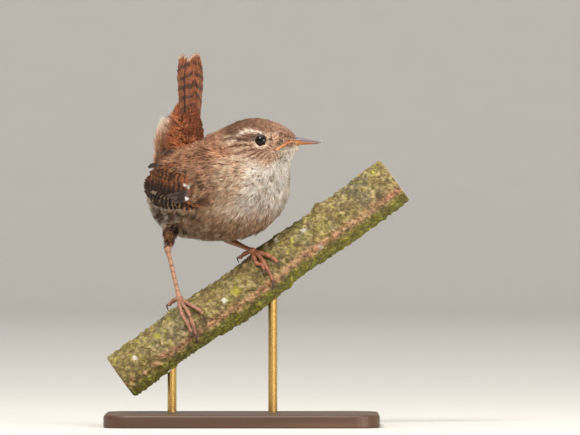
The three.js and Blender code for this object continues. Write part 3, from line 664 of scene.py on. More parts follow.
def clear_of_wing(points, lift):
    """Points inside a wing moved out to lie on top of it."""
    local = body.into(points)
    f, side, u = local.T
    inside = smooth(f, -22, -16) * smooth(f, WING_FRONT + 3, WING_FRONT + 0.5)
    inside = inside * smooth(np.abs(side), 8, 10) * smooth(np.abs(u - wing_line(f)), 7.6, 5.2)
    level = wing_side(f, u) + WING_HEIGHT * wing_rise(WING_FRONT - f) + lift
    local[:, 1] += np.sign(side) * inside * np.clip(level - np.abs(side), 0, FARTHEST_MOVE)
    return body.out(local)


def tuft_weight(points):
    """How closely tufts root at points: closest by the bill and the eyes, and none under a wing."""
    local = head.into(points)
    near_bill = np.linalg.norm(local - BILL_ROOT, axis=1)
    from_eye, share = eye_distance(points), headness(points)
    weight = 1 + 2.4 * share + 4 * bump(near_bill, 0, 5) + 2 * bump(from_eye, 3, 1.5)
    weight = weight + 1.6 * before_wing(points) + 6 * share * (1 - share)
    clear = smooth(from_eye, EYE_OPENING + 0.15, EYE_OPENING + 0.3)
    in_bill = (np.hypot(local[:, 1], local[:, 2] - 2.2) < 1.5) & (local[:, 0] > 9)
    return weight * clear * ~in_bill * (1 - under_wing(points))


def tuft_length(points):
    """How long tufts are at points: short on the head, the rump and the thighs, long on the vent."""
    f, side, u = body.into(points).T
    near_bill = np.linalg.norm(head.into(points) - BILL_ROOT, axis=1)
    on_body = 4.4 + 1.4 * smooth(f, 2, -12) + 1.6 * smooth(f, -18, -24) + 0.8 * before_wing(points)
    on_head = 0.85 + 1.75 * smooth(near_bill, 3, 13)
    on_head = on_head * (1 - 0.45 * bump(eye_distance(points), 2.4, 1.4))
    share = headness(points)
    long = on_body * (1 - share) + on_head * share
    long = long * (1 - 0.45 * smooth(f, -20.5, -17.5) * smooth(f, -8, -12) * smooth(u, 9, 13))
    for name in THIGHS:
        down, away = along_thigh(points, name)
        long = long * (1 - 0.5 * smooth(down, 0.4, 0.8) * smooth(away, 6, 4))
    return long


def strand_mesh(rings, widths, across, upward):
    """Closed three-sided strands. rings holds their middle points in order, and widths their widths."""
    count = len(rings[0])
    corners = [(0.0, 1.0), (-0.87, -0.5), (0.87, -0.5)]
    places = []
    for ring, width in zip(rings[:-1], widths):
        for x, z in corners:
            places.append(ring + (x * width)[:, None] * across + (z * 0.5 * width)[:, None] * upward)
    places.append(rings[-1])
    points = np.stack(places, axis=1)
    per = points.shape[1]
    pattern = [(0, 2, 1)]
    for ring in range(len(rings) - 2):
        low, high = 3 * ring, 3 * ring + 3
        for i in range(3):
            j = (i + 1) % 3
            pattern += [(low + i, low + j, high + j), (low + i, high + j, high + i)]
    last, tip = 3 * (len(rings) - 2), per - 1
    pattern += [(last + i, last + (i + 1) % 3, tip) for i in range(3)]
    start = (np.arange(count) * per)[:, None, None]
    faces = (start + np.array(pattern)[None]).reshape(-1, 3)
    return points.reshape(-1, 3), faces, per


def each_strand(values):
    """A tuft's values, given to each of its strands."""
    return np.repeat(values, STRANDS_A_TUFT, axis=0)


def coat_strands():
    """Points, faces, points in a strand, colours and map places of all the coat's strands."""
    roots = scatter(TUFTS, tuft_weight)
    roots = roots[np.argsort(body.into(roots)[:, 0])]
    normals = outward(roots)
    way = lie(roots, normals)
    turned = rng.normal(0, 0.12, TUFTS)[:, None]
    way = unit(way + turned * np.cross(normals, way))
    across = np.cross(normals, way)
    length = tuft_length(roots) * rng.uniform(0.75, 1.25, TUFTS)
    f, _, u = body.into(roots).T
    fluffy = smooth(f, -21, -26) * smooth(u, 2, 8)
    ruffle = smooth(cloud(roots, 2.6, 2), 0.42, 0.72) * (0.15 + 0.6 * smooth(length, 2.5, 5))
    lift = ruffle + (1.5 + 2 * bump(u, 16, 4)) * fluffy * rng.random(TUFTS)
    lift = lift + 0.5 * rng.random(TUFTS) ** 4
    streaky = 1.8 * smooth(f, 4, -8) * smooth(u, 4, -3)
    shade = 1 + rng.normal(0, 0.1, TUFTS) * (1.5 - 0.5 * headness(roots) + streaky)
    phase = rng.uniform(0, 2 * math.pi, TUFTS)
    strand = np.linspace(-1, 1, STRANDS_A_TUFT)[None, :]
    fan = strand + rng.normal(0, 0.12, (TUFTS, STRANDS_A_TUFT))
    band = 1 + 0.13 * np.sin(phase[:, None] + 2.4 * strand) + rng.normal(0, 0.05, fan.shape)
    shorter = 1 - 0.25 * np.abs(fan) ** 1.5 - 0.15 * rng.random(fan.shape)

    fan, shorter, band = fan.ravel(), shorter.ravel(), band.ravel()
    root, way, side, normal, length, depth, lift, shade = map(
        each_strand, (roots, way, across, normals, length, coat_depth(roots), lift, shade))
    reach = 0.13 * length + 0.12
    base = root + side * (fan * 0.25 * reach)[:, None] + normal * 0.02
    middle = root + way * (0.5 * length * shorter)[:, None] + side * (fan * reach)[:, None]
    tip = root + way * (length * shorter)[:, None] + side * (fan * 0.75 * reach)[:, None]
    middle = clear_of_wing(settle(middle, -0.42 * depth + 0.4 * lift, 2), 0.2)
    tip = clear_of_wing(settle(tip, rng.uniform(0.0, 0.3, len(fan)) + lift, 2), 0.7)
    width = 0.07 * length ** 0.5 + 0.06
    points, faces, per = strand_mesh([base - normal * 0.1, middle, tip], [0.8 * width, width],
                                     unit(np.cross(normal, tip - base)), normal)
    share = np.tile([0.05] * 3 + [0.5] * 3 + [1.0], len(fan))
    colours = coat_tint(points, share) * np.repeat(shade * band, per)[:, None]
    # Each strand is darker at its root and lighter at its tip: partly the feathers' own darker bases,
    # partly painted shade deep in the coat
    colours *= (0.69 + 0.43 * share)[:, None]
    spots = np.repeat(unwrap(root), per, axis=0) + PATCH * (rng.random((len(points), 2)) - 0.5)
    return points, faces, per, colours, spots


def coat():
    """The coat's strands, from the tail's side forward, in pieces of the same number of strands."""
    points, faces, per, colours, spots = coat_strands()
    strands = len(points) // per
    per_faces = len(faces) // strands
    for number, start in enumerate(range(0, strands, PIECE_STRANDS)):
        stop = min(start + PIECE_STRANDS, strands)
        rows = slice(start * per, stop * per)
        own = faces[start * per_faces:stop * per_faces] - start * per
        add_piece(f"coat_{number + 1}", (points[rows], own, colours[rows]), feather_look, spots=spots[rows])


coat()


# Vanes: flight feathers and coverts as thin closed sheets with a shaft

VANE_THICKNESS = 0.1


def vane(place, length, width, tint, outline, along=34, across=6, fray=0.05):
    """One feather. place(t, x, z) gives the point t millimetres along it, x across and z over it, and
    tint(v, w) the colour at a share v along and w across."""
    v, w = np.meshgrid(np.linspace(0, 1, along + 1), np.linspace(-1, 1, across + 1), indexing="ij")
    v, w = v.ravel(), w.ravel()
    half = width / 2 * outline(v)
    rough = rng.normal(0, fray, len(v)) * (np.abs(w) > 0.9)
    t = length * v - 0.16 * width * w ** 2 * smooth(v, 0.7, 1) + rough * 2
    x = w * half + rough * np.sign(w)
    z = 0.05 * width * (1 - w ** 2) + 0.1 * bump(w, 0, 0.18)
    top = place(t, x, z + VANE_THICKNESS / 2)
    bottom = place(t, x, z - VANE_THICKNESS / 2)
    points = np.concatenate([top, bottom])
    row, n = across + 1, (along + 1) * (across + 1)
    i, j = np.meshgrid(np.arange(along), np.arange(across), indexing="ij")
    a = (i * row + j).ravel()
    quads = [np.stack([a, a + 1, a + row + 1, a + row], 1),
             np.stack([a, a + row, a + row + 1, a + 1], 1) + n]
    rim = np.concatenate([np.arange(0, row), np.arange(2 * row - 1, n, row),
                          np.arange(n - 2, n - row - 1, -1), np.arange(n - 2 * row, 0, -row)])
    after = np.roll(rim, -1)
    quads.append(np.stack([rim, rim + n, after + n, after], 1)[:, ::-1])
    colours = tint(v, w, place(t, x, z))
    # The lower sheet takes the same colours darkened: painted shade on each feather's underside
    return points, np.concatenate(quads), np.concatenate([colours, 0.85 * colours])


def join(shapes):
    """One shape of points, faces and colours from several."""
    points, faces, colours, start = [], [], [], 0
    for p, f, c in shapes:
        points.append(p)
        faces.append(f + start)
        colours.append(c)
        start += len(p)
    return np.concatenate(points), np.concatenate(faces), np.concatenate(colours)


def feather_outline(base, growth, rounded_from, power):
    """How wide a feather is along it, as a share of its greatest width."""
    def width(v):
        rounded = np.clip(1 - smooth(v, rounded_from, 1.02) ** power * 0.97, 0, 1)
        return np.clip(base + growth * v, 0, 1) * np.sqrt(rounded)
    return width


flight_outline = feather_outline(0.34, 1.6, 0.72, 1.5)
covert_outline = feather_outline(0.45, 1.5, 0.55, 1.3)


# Wings

def wing_place(side):
    """Places on a wing: along it from its bend, up it, and out from it."""
    def place(along, up, out):
        f = WING_FRONT - along
        u = up + WING_RISE * along / (WING_FRONT - WING_TIP) - WING_DROP
        return body.out(np.stack([f, side * (wing_side(f, u) + out), u], axis=-1))
    return place


def bars(t, period, sharp=0.35):
    """1 on dark bars that come back after each period."""
    return smooth(np.sin(t * 2 * math.pi / period), 0.35 - sharp, 0.35 + sharp)


def barred_tint(period, ground, dark, edge_share, spotted, plain, seed):
    """Fine dark bars over a rufous ground, a paler beaded lower edge, and on some rows white spots."""
    def tint(v, w, points):
        along = WING_FRONT - body.into(points)[:, 0]
        wander = 2.4 * cloud(points, 3.2, 2) + 0.25 * np.abs(w) * period + seed
        dark_bar = bars(along + wander, period) * smooth(noise(points, 2.4), 0.12, 0.5)
        base = mix(ground, dark, (1 - plain) * (0.08 + 0.76 * dark_bar))
        base = mix(base, dark, 0.45 * smooth(cloud(points, 2.6, 2), 0.42, 0.62))
        height = body.into(points)[:, 2] - wing_line(WING_FRONT - along)
        base = mix(base, dark, 0.75 * (1 - plain) * smooth(height, -1, -3.5) * smooth(along, 8, 13))
        edge = smooth(w, -0.3, -0.7) * edge_share
        bead = smooth(np.sin((along + wander) * 2 * math.pi / period), -0.4, -0.85)
        worn = 0.7 * smooth(along, 13, 20) * smooth(noise(points, 1.3), 0.66, 0.56)
        pale = mix(WING_EDGE, WING_BAR, worn)
        base = mix(base, mix(dark, pale, bead), edge)
        base = mix(base, WING_EDGE, 0.6 * edge_share * smooth(v, 0.965, 0.985))
        base = mix(base, dark, 0.55 * bump(w, 0, 0.09))
        return mix(base, SPOT, spotted * white_spots(points))
    return tint


# Rows of a wing: how many, first and last root and tip, width, height over the body, and how they look
WING_ROWS = [
    dict(count=9, root=[(6, -4.8), (11, -1.8)], tip=[(27.5, -6.5), (31.4, -0.4)], width=3.2,
         lift=0.4, period=2.1, edge=1.0, rounded=2.2),
    dict(count=7, root=[(9, -1.2), (11, 4.4)], tip=[(31.0, 0.2), (28.0, 3.4)], width=4.0,
         lift=0.65, period=1.9, edge=0.2),
    dict(count=4, root=[(8, 3.2), (7, 6.0)], tip=[(28.5, 3.2), (20, 6.4)], width=4.8,
         lift=0.95, period=2.4, edge=0.1, ground=TERTIAL),
    dict(count=5, root=[(3, -5.2), (5, -2.6)], tip=[(13, -5.4), (19, -2.4)], width=2.6,
         lift=0.9, period=2.1, edge=1.0, spots=1),
    dict(count=9, root=[(3.5, -2.4), (4, 6.2)], tip=[(16, -1.8), (15, 6.8)], width=3.4,
         lift=1.15, period=2.3, edge=0.15, ground=TERTIAL),
    dict(count=8, root=[(1.2, -2.6), (1.4, 6.2)], tip=[(10, -2.0), (9.4, 6.8)], width=3.2,
         lift=1.45, period=2.2, edge=0.1, ground=WING_COVERT, spots=1),
    dict(count=2, root=[(2.4, -0.6), (2.8, 0.8)], tip=[(13.5, -5.0), (16.5, -3.8)], width=2.3,
         lift=2.0, period=9, edge=0.0, ground=ALULA, plain=0.85, spots=1),
    dict(count=9, root=[(-1.5, -3.2), (-1.5, 6.4)], tip=[(5.6, -3.2), (5.4, 6.8)], width=2.8,
         lift=1.4, period=1.5, edge=0.0, ground=WING_COVERT, spots=1),
]
# How deep a feather's root is sunk, and the length from which a feather is a long one
ROOT_DEPTH, LONG_FEATHER = 1.0, 15

# Feathers that lie loose over the rump: root and tip on the body, width and colour
LOOSE_FEATHERS = [
    ((-12, -13.5, 10.6), (-22.5, -10.2, 7.2), 1.7, LOOSE_PALE),
    ((-17, -11.5, 8.8), (-27.6, -8.8, 8.0), 1.7, LOOSE_DARK),
]


def loose_feather(root, tip, width, colour):
    """One feather that arches over the coat between two places on the body."""
    start, end = body.out(root), body.out(tip)
    length = np.linalg.norm(end - start)
    way = (end - start) / length
    out = unit(body.turn((-0.3, -1.0, 0.25)))
    up = unit(np.cross(way, out))

    def place(t, x, z):
        arch = 0.9 * np.sin(np.pi * np.clip(t / length, 0, 1))
        return start + np.outer(t, way) + np.outer(x, up) + np.outer(z + arch + 0.5, out)

    def tint(v, w, points):
        return mix(colour, LOOSE_SHAFT, 0.6 * bump(w, 0, 0.15) + 0.3 * smooth(noise(points, 0.8), 0.4, 0.7))

    return vane(place, length, width, tint, flight_outline)


def wing(name, side):
    """A folded wing, built up row by row, with the lowest layer first."""
    place = wing_place(side)
    draw = np.random.default_rng(5)
    vanes = []
    for row in WING_ROWS:
        (r0, r1), (t0, t1) = np.array(row["root"], float), np.array(row["tip"], float)
        step = max(np.linalg.norm(t1 - t0) / (row["count"] - 1), 0.8)
        for i in range(row["count"]):
            share = i / (row["count"] - 1)
            root, tip = r0 + (r1 - r0) * share, t0 + (t1 - t0) * share
            tip = tip + draw.normal(0, 0.25, 2) + (row.get("rounded", 0) * math.sin(math.pi * share), 0)
            length = np.linalg.norm(tip - root)
            way = (tip - root) / length
            tilt = -0.26 / step

            def on_wing(t, x, z, root=root, way=way, length=length, lift=row["lift"], tilt=tilt):
                bow = -0.035 * length * np.sin(np.pi * np.clip(t / length, 0, 1))
                along = root[0] + way[0] * t - way[1] * (x + bow)
                up = root[1] + way[1] * t + way[0] * (x + bow)
                sunk = ROOT_DEPTH * smooth(t, 3.5, 0)
                return place(along, up, lift * wing_rise(along) + z + tilt * x - sunk)

            tint = barred_tint(row["period"], row.get("ground", WING), WING_BAR, row["edge"],
                               row.get("spots", 0), row.get("plain", 0), draw.uniform(0, 0.5))
            outline, along = (flight_outline, 44) if length > LONG_FEATHER else (covert_outline, 26)
            vanes.append(vane(on_wing, length, row["width"], tint, outline, along=along))
    if side < 0:
        vanes += [loose_feather(*feather) for feather in LOOSE_FEATHERS]
    add_piece(name, join(vanes), vane_look, name)


wing("wing_right", -1)
wing("wing_left", 1)


# Tail

TAIL_AT, TAIL_LENGTH, TAIL_SPREAD, TAIL_WIDTH = (-16.8, 1.6, 9.0), 39.6, 9.6, 4.5
TAIL_HALF = 6
# Rows of coverts before the tail's root: how many, how long and how far back
TAIL_COVERTS = [(7, 21, -0.4), (6, 16.5, -0.9), (5, 12.5, -1.4)]
COVERT_WIDTH, COVERT_SPREAD = 4.4, 3.6
COVERT_SHADE = np.array([0.95, 0.84, 0.74])


def tail_place(t, x, z):
    """A place on the tail: up it, across it and behind it."""
    return body.out(np.stack([TAIL_AT[0] - z + 0.02 * t, TAIL_AT[1] + x, TAIL_AT[2] + t], axis=-1))


def tail_reach(across):
    """How far up the tail reaches at places across it: less at its corners and at one notch."""
    notch = 2.4 * math.exp(-((across + 2) / 1.1) ** 2)
    return TAIL_LENGTH - notch - 0.36 * max(across - 2.2, 0) ** 2 - 0.45 * max(-3.7 - across, 0) ** 2


def tail_tint(length, shift, dark_edge, pale_tip=0.8):
    """Wandering dark bars over a streaked rufous ground, with a pale tip and edges."""
    def tint(v, w, points):
        t = v * length
        wander = 2.2 * (cloud(points, 2.4, 2) - 0.5) + 0.9 * np.abs(w)
        dark = bars(t - 0.6 + wander + shift, 3.85, 0.45) * smooth(t, 12, 24)
        streak = noise(np.stack([points[:, 0] * 3, points[:, 1] * 3, points[:, 2] * 0.5], axis=1), 1.0)
        base = mix(TAIL, TAIL_DEEP, smooth(streak, 0.3, 0.7))
        base = mix(base, TAIL_BAR, 0.9 * dark * smooth(noise(points, 1.1), 0.1, 0.35))
        base = mix(base, TAIL_BAR, 0.35 * smooth(noise(points, 0.8), 0.6, 0.8))
        pale = smooth(v, 0.955, 0.99) + 0.35 * smooth(np.abs(w), 0.8, 0.95)
        base = mix(base, TAIL_TIP, pale_tip * pale)
        base = mix(base, TAIL_BAR, dark_edge * smooth(w, -0.6, -0.85))
        return mix(base, TAIL_SHAFT, 0.6 * bump(w, 0, 0.08))
    return tint


def tail():
    """The cocked tail: two halves of long feathers, middle first, and rows of coverts over its root."""
    vanes = []
    for side in (1, -1):
        for i in range(TAIL_HALF):
            share = (i + 0.5) / TAIL_HALF
            length = tail_reach(side * (0.9 + TAIL_SPREAD / 2) * share) * rng.uniform(0.985, 1.005)
            lean = TAIL_SPREAD / 2 * share / TAIL_LENGTH
            lift = 0.24 * i + (0 if side > 0 else 0.12)

            def on_tail(t, x, z, side=side, share=share, lean=lean, lift=lift):
                return tail_place(t, side * (0.9 * share + lean * t) + x, lift - z)

            edge = 0.9 if side < 0 and i == 2 else 0.0
            tint = tail_tint(length, 0.3 * i, edge)
            vanes.append(vane(on_tail, length, TAIL_WIDTH, tint, flight_outline,
                              along=90, across=10, fray=0.14))
    for row, (count, reach, out) in enumerate(TAIL_COVERTS):
        tint = tail_tint(60, row, 0, 0.15)
        for i in range(count):
            across = (i / (count - 1) * 2 - 1)
            length = reach - 3 * across ** 2 + rng.uniform(-0.8, 0.8)

            def on_covert(t, x, z, across=across, out=out):
                return tail_place(t, across * COVERT_SPREAD + x, out + 0.7 * np.abs(across) - z)

            points, faces, colours = vane(on_covert, length, COVERT_WIDTH, tint, covert_outline,
                                          along=40, across=8, fray=0.16)
            vanes.append((points, faces, COVERT_SHADE * colours))
    add_piece("tail", join(vanes), vane_look, "tail")


tail()


# Bill

BILL_BACK, BILL_FRONT, TIP_UP, BILL_WIDTH = 8.6, 22.6, 1.5, 3.9
BILL_RISE, MOUTH_UP, CHIN_UP = 4.0, 2.35, 0.5
LOW_SHORTER = 0.7
NOSTRIL_AT = (13.6, 3.15)
GAPE_FRONT, GAPE_BACK, GAPE_UP, GAPE_DROP = 12.0, 6.2, -0.8, 0.25


def tube_faces(rings, sides):
    """Triangles of a closed tube, with its two end rings closed by fans to an added middle point each."""
    quads = ring_quads(rings, sides)
    j = np.arange(sides)
    k = (j + 1) % sides
    top = (rings - 1) * sides
    near = np.stack([k, j, np.full(sides, rings * sides)], 1)
    far = np.stack([top + j, top + k, np.full(sides, rings * sides + 1)], 1)
    return np.concatenate([quads[:, [0, 3, 2]], quads[:, [0, 2, 1]], near, far])


def loft(rings):
    """A closed tube through rings of points, all alike in number."""
    rings = np.asarray(rings)
    count, sides = rings.shape[:2]
    ends = [rings[0].mean(axis=0), rings[-1].mean(axis=0)]
    return np.concatenate([rings.reshape(-1, 3), ends]), tube_faces(count, sides)


def bill_half(upper):
    """One half of the bill, from under the face's feathers to its tip, flat where the halves meet."""
    t = np.linspace(0, 1, 40)[:, None]
    angle = circle(28)[None, :]
    mouth = MOUTH_UP + (TIP_UP + 0.1 - MOUTH_UP) * (t * t)
    top = BILL_RISE + (TIP_UP + 0.42 - BILL_RISE) * t ** 1.9
    bottom = CHIN_UP + (TIP_UP - 0.22 - CHIN_UP) * t ** 0.85
    wide = BILL_WIDTH / 2 * (1 - t) ** 0.8 + 0.16
    tip = BILL_FRONT if upper else BILL_FRONT - LOW_SHORTER
    round_share = np.maximum(np.sin(angle), 0) ** 0.8
    middle = mouth + 0.06 if upper else mouth - 0.06
    high = (top if upper else bottom) - middle
    f = BILL_BACK + (tip - BILL_BACK) * t + 0 * angle
    side = np.cos(angle) * wide
    u = middle + high * round_share
    if upper:
        nostril = bump(f, NOSTRIL_AT[0], 0.8) * bump(u, NOSTRIL_AT[1], 0.32)
        side = side * (1 - 0.30 * nostril)
    flip = 1 if upper else -1
    points, faces = loft(head.out(np.stack([f, flip * side, u], axis=-1)))
    local = head.into(points)
    share = np.clip((local[:, 0] - BILL_BACK) / (tip - BILL_BACK), 0, 1)
    over_edge = local[:, 2] - np.interp(share, t[:, 0], mouth[:, 0])
    return points, faces, bill_tint(local, share, over_edge, upper)


def bill_tint(local, share, over_edge, upper):
    """The bill's colours: dark above, tawny at the mouth's edge and below, with a dark mouth line."""
    if upper:
        nostril = bump(local[:, 0], NOSTRIL_AT[0], 0.7) * bump(local[:, 2], NOSTRIL_AT[1], 0.3)
        colours = paint(
            BILL_EDGE,
            (BILL_TOP, smooth(over_edge, 0.1, 0.6)),
            (NOSTRIL, np.clip(1.3 * nostril, 0, 1)),
            (BILL_TIP, smooth(share, 0.75, 1) * 0.6))
    else:
        colours = paint(
            BILL_LOW,
            (BILL_EDGE, smooth(share, 0.2, 0.9)),
            (BILL_LOW_TIP, smooth(share, 0.8, 1) * 0.7))
    return mix(colours, MOUTH, 0.8 * bump(over_edge, 0, 0.14))


def tube_along(points, radii, sides=16, rings=60, flat=1.0):
    """A closed tube whose middle runs through points. radii gives its radius at shares along it."""
    share = np.linspace(0, 1, rings)
    middle = spline(points, share)
    along = unit(np.gradient(middle, axis=0))
    side = unit(np.cross(along, np.array([0.01, 1, 0.02])))
    up = np.cross(side, along)
    angle = circle(sides)
    ring = (np.cos(angle)[None, :, None] * side[:, None, :] * flat
            + np.sin(angle)[None, :, None] * up[:, None, :])
    tube, faces = loft(middle[:, None, :] + ring * radii(share)[:, None, None])
    return tube, faces, np.concatenate([np.repeat(share, sides), [0, 1]])


def spline(points, share):
    """A centripetal curve through points, at shares of its number of spans."""
    p = np.asarray(points, float)
    p = np.concatenate([[2 * p[0] - p[1]], p, [2 * p[-1] - p[-2]]])
    spans = len(p) - 3
    at = np.clip(np.asarray(share) * spans, 0, spans - 1e-9)
    i = at.astype(int)
    w = (at - i)[:, None]
    p0, p1, p2, p3 = p[i], p[i + 1], p[i + 2], p[i + 3]
    d0, d1, d2 = (np.maximum(np.linalg.norm(b - a, axis=1, keepdims=True), 1e-6) ** 0.5
                  for a, b in ((p0, p1), (p1, p2), (p2, p3)))
    m1 = ((p1 - p0) / d0 - (p2 - p0) / (d0 + d1) + (p2 - p1) / d1) * d1
    m2 = ((p2 - p1) / d1 - (p3 - p1) / (d1 + d2) + (p3 - p2) / d2) * d1
    a = 2 * (p1 - p2) + m1 + m2
    b = 3 * (p2 - p1) - 2 * m1 - m2
    return a * w ** 3 + b * w ** 2 + m1 * w + p1


def gape(side, upper):
    """One lip of the soft corner of the mouth, from the side of the bill back along the cheek."""
    apart = 0.26 if upper else -0.3
    on_bill = [head.out((f, side * wide, up + apart))
               for f, wide, up in ((15.6, 1.15, 2.3), (14.0, 1.6, 2.25))]
    on_face = []
    for t in np.linspace(0, 1, 6):
        f = GAPE_FRONT + (GAPE_BACK - GAPE_FRONT) * t
        u = MOUTH_UP - GAPE_DROP + (GAPE_UP - MOUTH_UP + GAPE_DROP) * t
        on_face.append(head.out((f, side * 5.0, u + apart * (1 - 0.7 * t))))
    on_face = settle(np.array(on_face), np.full(6, 0.1), 4)

    def thickness(share):
        return 0.3 * (1 - 0.4 * share) * smooth(share, -0.12, 0.15)

    points, faces, share = tube_along([*on_bill, *on_face], thickness, sides=12, rings=40)
    local = head.into(points)
    t = np.clip((GAPE_FRONT - local[:, 0]) / (GAPE_FRONT - GAPE_BACK), 0, 1)
    over_mouth = local[:, 2] - (MOUTH_UP - GAPE_DROP * (t > 0) + (GAPE_UP - MOUTH_UP + GAPE_DROP) * t)
    colours = mix(BILL_EDGE if upper else BILL_LOW, GAPE, share)
    return points, faces, mix(colours, MOUTH, 0.85 * bump(over_mouth, 0, 0.15))


def bill():
    """Both halves of the bill, each with its lips."""
    for name, upper in (("bill_upper", True), ("bill_lower", False)):
        add_piece(name, join([bill_half(upper), gape(1, upper), gape(-1, upper)]), bill_look, name)


bill()


# Eyes and lids

LID_RINGS, LID_SIDES = 72, 14


def ball_rings(rings, sides):
    """Rings of points on a ball of radius 1, with its two poles left out."""
    polar = np.linspace(0, math.pi, rings)[1:-1, None]
    angle = circle(sides)[None, :]
    return np.stack([np.sin(polar) * np.cos(angle), np.sin(polar) * np.sin(angle),
                     np.cos(polar) + 0 * angle], axis=-1)


def lids(name, centre, axes):
    """The wrinkled ring of the two lids, paler below."""
    angle, turn = circle(LID_RINGS)[:, None], circle(LID_SIDES)[None, :]
    wrinkle = 1 + 0.10 * np.sin(angle * 17) + 0.06 * np.sin(angle * 29 + 1)
    ring = EYE_OPENING + 0.12 + 0.2 * np.cos(turn)
    rise = math.sqrt(EYE_RADIUS ** 2 - EYE_OPENING ** 2) + 0.1 + 0.24 * wrinkle * np.sin(turn)
    local = np.stack([ring * np.cos(angle), 0.94 * ring * np.sin(angle), rise + 0 * angle], axis=-1)
    points = centre + local.reshape(-1, 3) @ axes
    faces = ring_quads(LID_RINGS + 1, LID_SIDES) % len(points)
    colours = mix(LID, LID_PALE, smooth(local[..., 1].ravel(), 0.5, -1.5))
    add_piece(name, (points, faces, colours), lid_look)


def eye(side_name, side):
    """A glossy eye with its lids."""
    facing = unit(head.turn(EYE_FACING * (1, side, 1)))
    centre = head.out(EYE_AT * (1, side, 1))
    across = unit(np.cross(facing, (0, 0, 1)))
    axes = np.stack([across, np.cross(across, facing), facing])
    points, faces = loft(ball_rings(40, 64))
    out = points[:, 2]
    colours = mix(EYE, IRIS, smooth(out, 0.86, 0.8) * smooth(out, 0.45, 0.6))
    name = f"eye_{side_name}"
    add_piece(name, (centre + points * EYE_RADIUS @ axes, faces, colours), eye_look, name)
    lids(f"lids_{side_name}", centre, axes)


eye("right", -1)
eye("left", 1)


# The branch

# The branch's middle line: how far right and how high
BRANCH_LINE = [(-42.4, 17.2), (-28.7, 27.1), (-15.8, 36.6), (2.8, 48.4), (13.3, 57.4), (34.3, 71.8),
               (53.4, 86)]
BRANCH_LOW, BRANCH_HIGH = 8.4, 8.7
BRANCH_MIDDLE = (-14, 37.7)
# Knots: how far along, how far round, how high and how wide
BRANCH_BUMPS = [(55.5, -8, 1.5, 2.2), (31, 155, 1.1, 2.6), (-22, -70, 1.2, 3.5), (12, 215, 1.3, 3.0)]
# Patches of lichen and moss: how far along, how far round, how large and what colour
PATCHES = [(10.2, 80, 1.5, LICHEN_WHITE), (37.1, 37, 1.0, LICHEN_WHITE), (46.7, 59, 1.1, LICHEN_WHITE),
           (48.6, 115, 1.0, LICHEN_WHITE), (-27, 74, 1.2, LICHEN_WHITE), (-5, 98, 0.9, LICHEN_WHITE),
           (15.3, 78, 2.2, MOSS_BRIGHT), (-16, 60, 1.8, MOSS_BRIGHT)]
BRANCH_RINGS, BRANCH_SIDES = 400, 190

# Fine points along the branch's middle, and how far along each is
branch_points = spline([(x, 0, z) for x, z in BRANCH_LINE], np.linspace(0, 1, 4001))
branch_run = np.concatenate([[0], np.cumsum(np.linalg.norm(np.diff(branch_points, axis=0), axis=1))])
BRANCH_LENGTH = branch_run[-1]
from_middle = np.hypot(branch_points[:, 0] - BRANCH_MIDDLE[0], branch_points[:, 2] - BRANCH_MIDDLE[1])
BRANCH_ZERO = branch_run[np.argmin(from_middle)]


def branch_radius(along, angle):
    """The branch's uneven radius, with its knots."""
    share = (along + BRANCH_ZERO) / BRANCH_LENGTH
    plain = BRANCH_LOW + (BRANCH_HIGH - BRANCH_LOW) * share
    radius = plain + 0.16 * np.sin(angle * 2 + along * 0.11) + 0.12 * np.sin(angle * 3 - along * 0.17)
    for at, degrees, size, reach in BRANCH_BUMPS:
        turn = angle - math.radians(degrees)
        turn = np.arctan2(np.sin(turn), np.cos(turn))
        radius = radius + size * np.exp(-((along - at) ** 2 + (turn * plain) ** 2) / reach ** 2)
    return radius


def on_branch(along, degrees, lift):
    """Points over the branch: along it, round it from its top towards the viewer, and out from its bark."""
    along, angle = np.broadcast_arrays(np.asarray(along, float), np.radians(degrees))
    at = np.clip(along + BRANCH_ZERO, 0, BRANCH_LENGTH)
    centre = np.stack([np.interp(at, branch_run, branch_points[:, k]) for k in range(3)], axis=-1)
    slope = np.gradient(branch_points, axis=0)
    tangent = unit(np.stack([np.interp(at, branch_run, slope[:, k]) for k in range(3)], axis=-1))
    top = np.stack([-tangent[..., 2], 0 * at, tangent[..., 0]], axis=-1)
    out = top * np.cos(angle)[..., None] + np.array([0, -1, 0]) * np.sin(angle)[..., None]
    return centre + out * (branch_radius(along, angle) + lift)[..., None]


def branch_tint(points, along, degrees):
    """Lichen above, moss below, a strip of bare bark between them, and patches."""
    broad, middle, fine = cloud(points, 8), cloud(points, 1.5), noise(points, 0.6)
    low = smooth(degrees, 118, 140)
    strip = bump(degrees, 112 + 7 * (broad - 0.5), 10)
    lines = noise(np.stack([along * 0.12, degrees * 0.15, 0 * along], axis=1), 0.5)
    bark = mix(BARK, mix(BARK_DARK, LICHEN_PALE, smooth(lines, 0.45, 0.55)), 0.6 * smooth(lines, 0.35, 0.8))
    tint = paint(
        LICHEN,
        (LICHEN_GREY, smooth(broad, 0.42, 0.6)),
        (LICHEN_PALE, 0.7 * smooth(middle, 0.5, 0.66)),
        (MOSS, np.clip(0.35 * smooth(cloud(points + 30, 3), 0.52, 0.66) + 0.75 * low, 0, 1)),
        (MOSS_BRIGHT, 0.65 * smooth(cloud(points + 80, 1.1, 2) + 0.04 * low, 0.66, 0.75)),
        (bark, np.clip(1.3 * strip * smooth(broad + 0.5 * middle, 0.5, 0.75), 0, 1)),
        (BARK_DARK, 0.55 * smooth(noise(points + 50, 0.55), 0.62, 0.76)),
        (BARK_DARK, 0.45 * smooth(middle, 0.46, 0.38)))
    for at, turn, size, colour in PATCHES:
        away = np.hypot(along - at, (degrees - turn) * 0.15)
        tint = mix(tint, colour, 0.75 * smooth(away + 2.4 * (fine - 0.5), size, 0.5 * size))
    return tint * (0.8 + 0.4 * fine)[:, None]


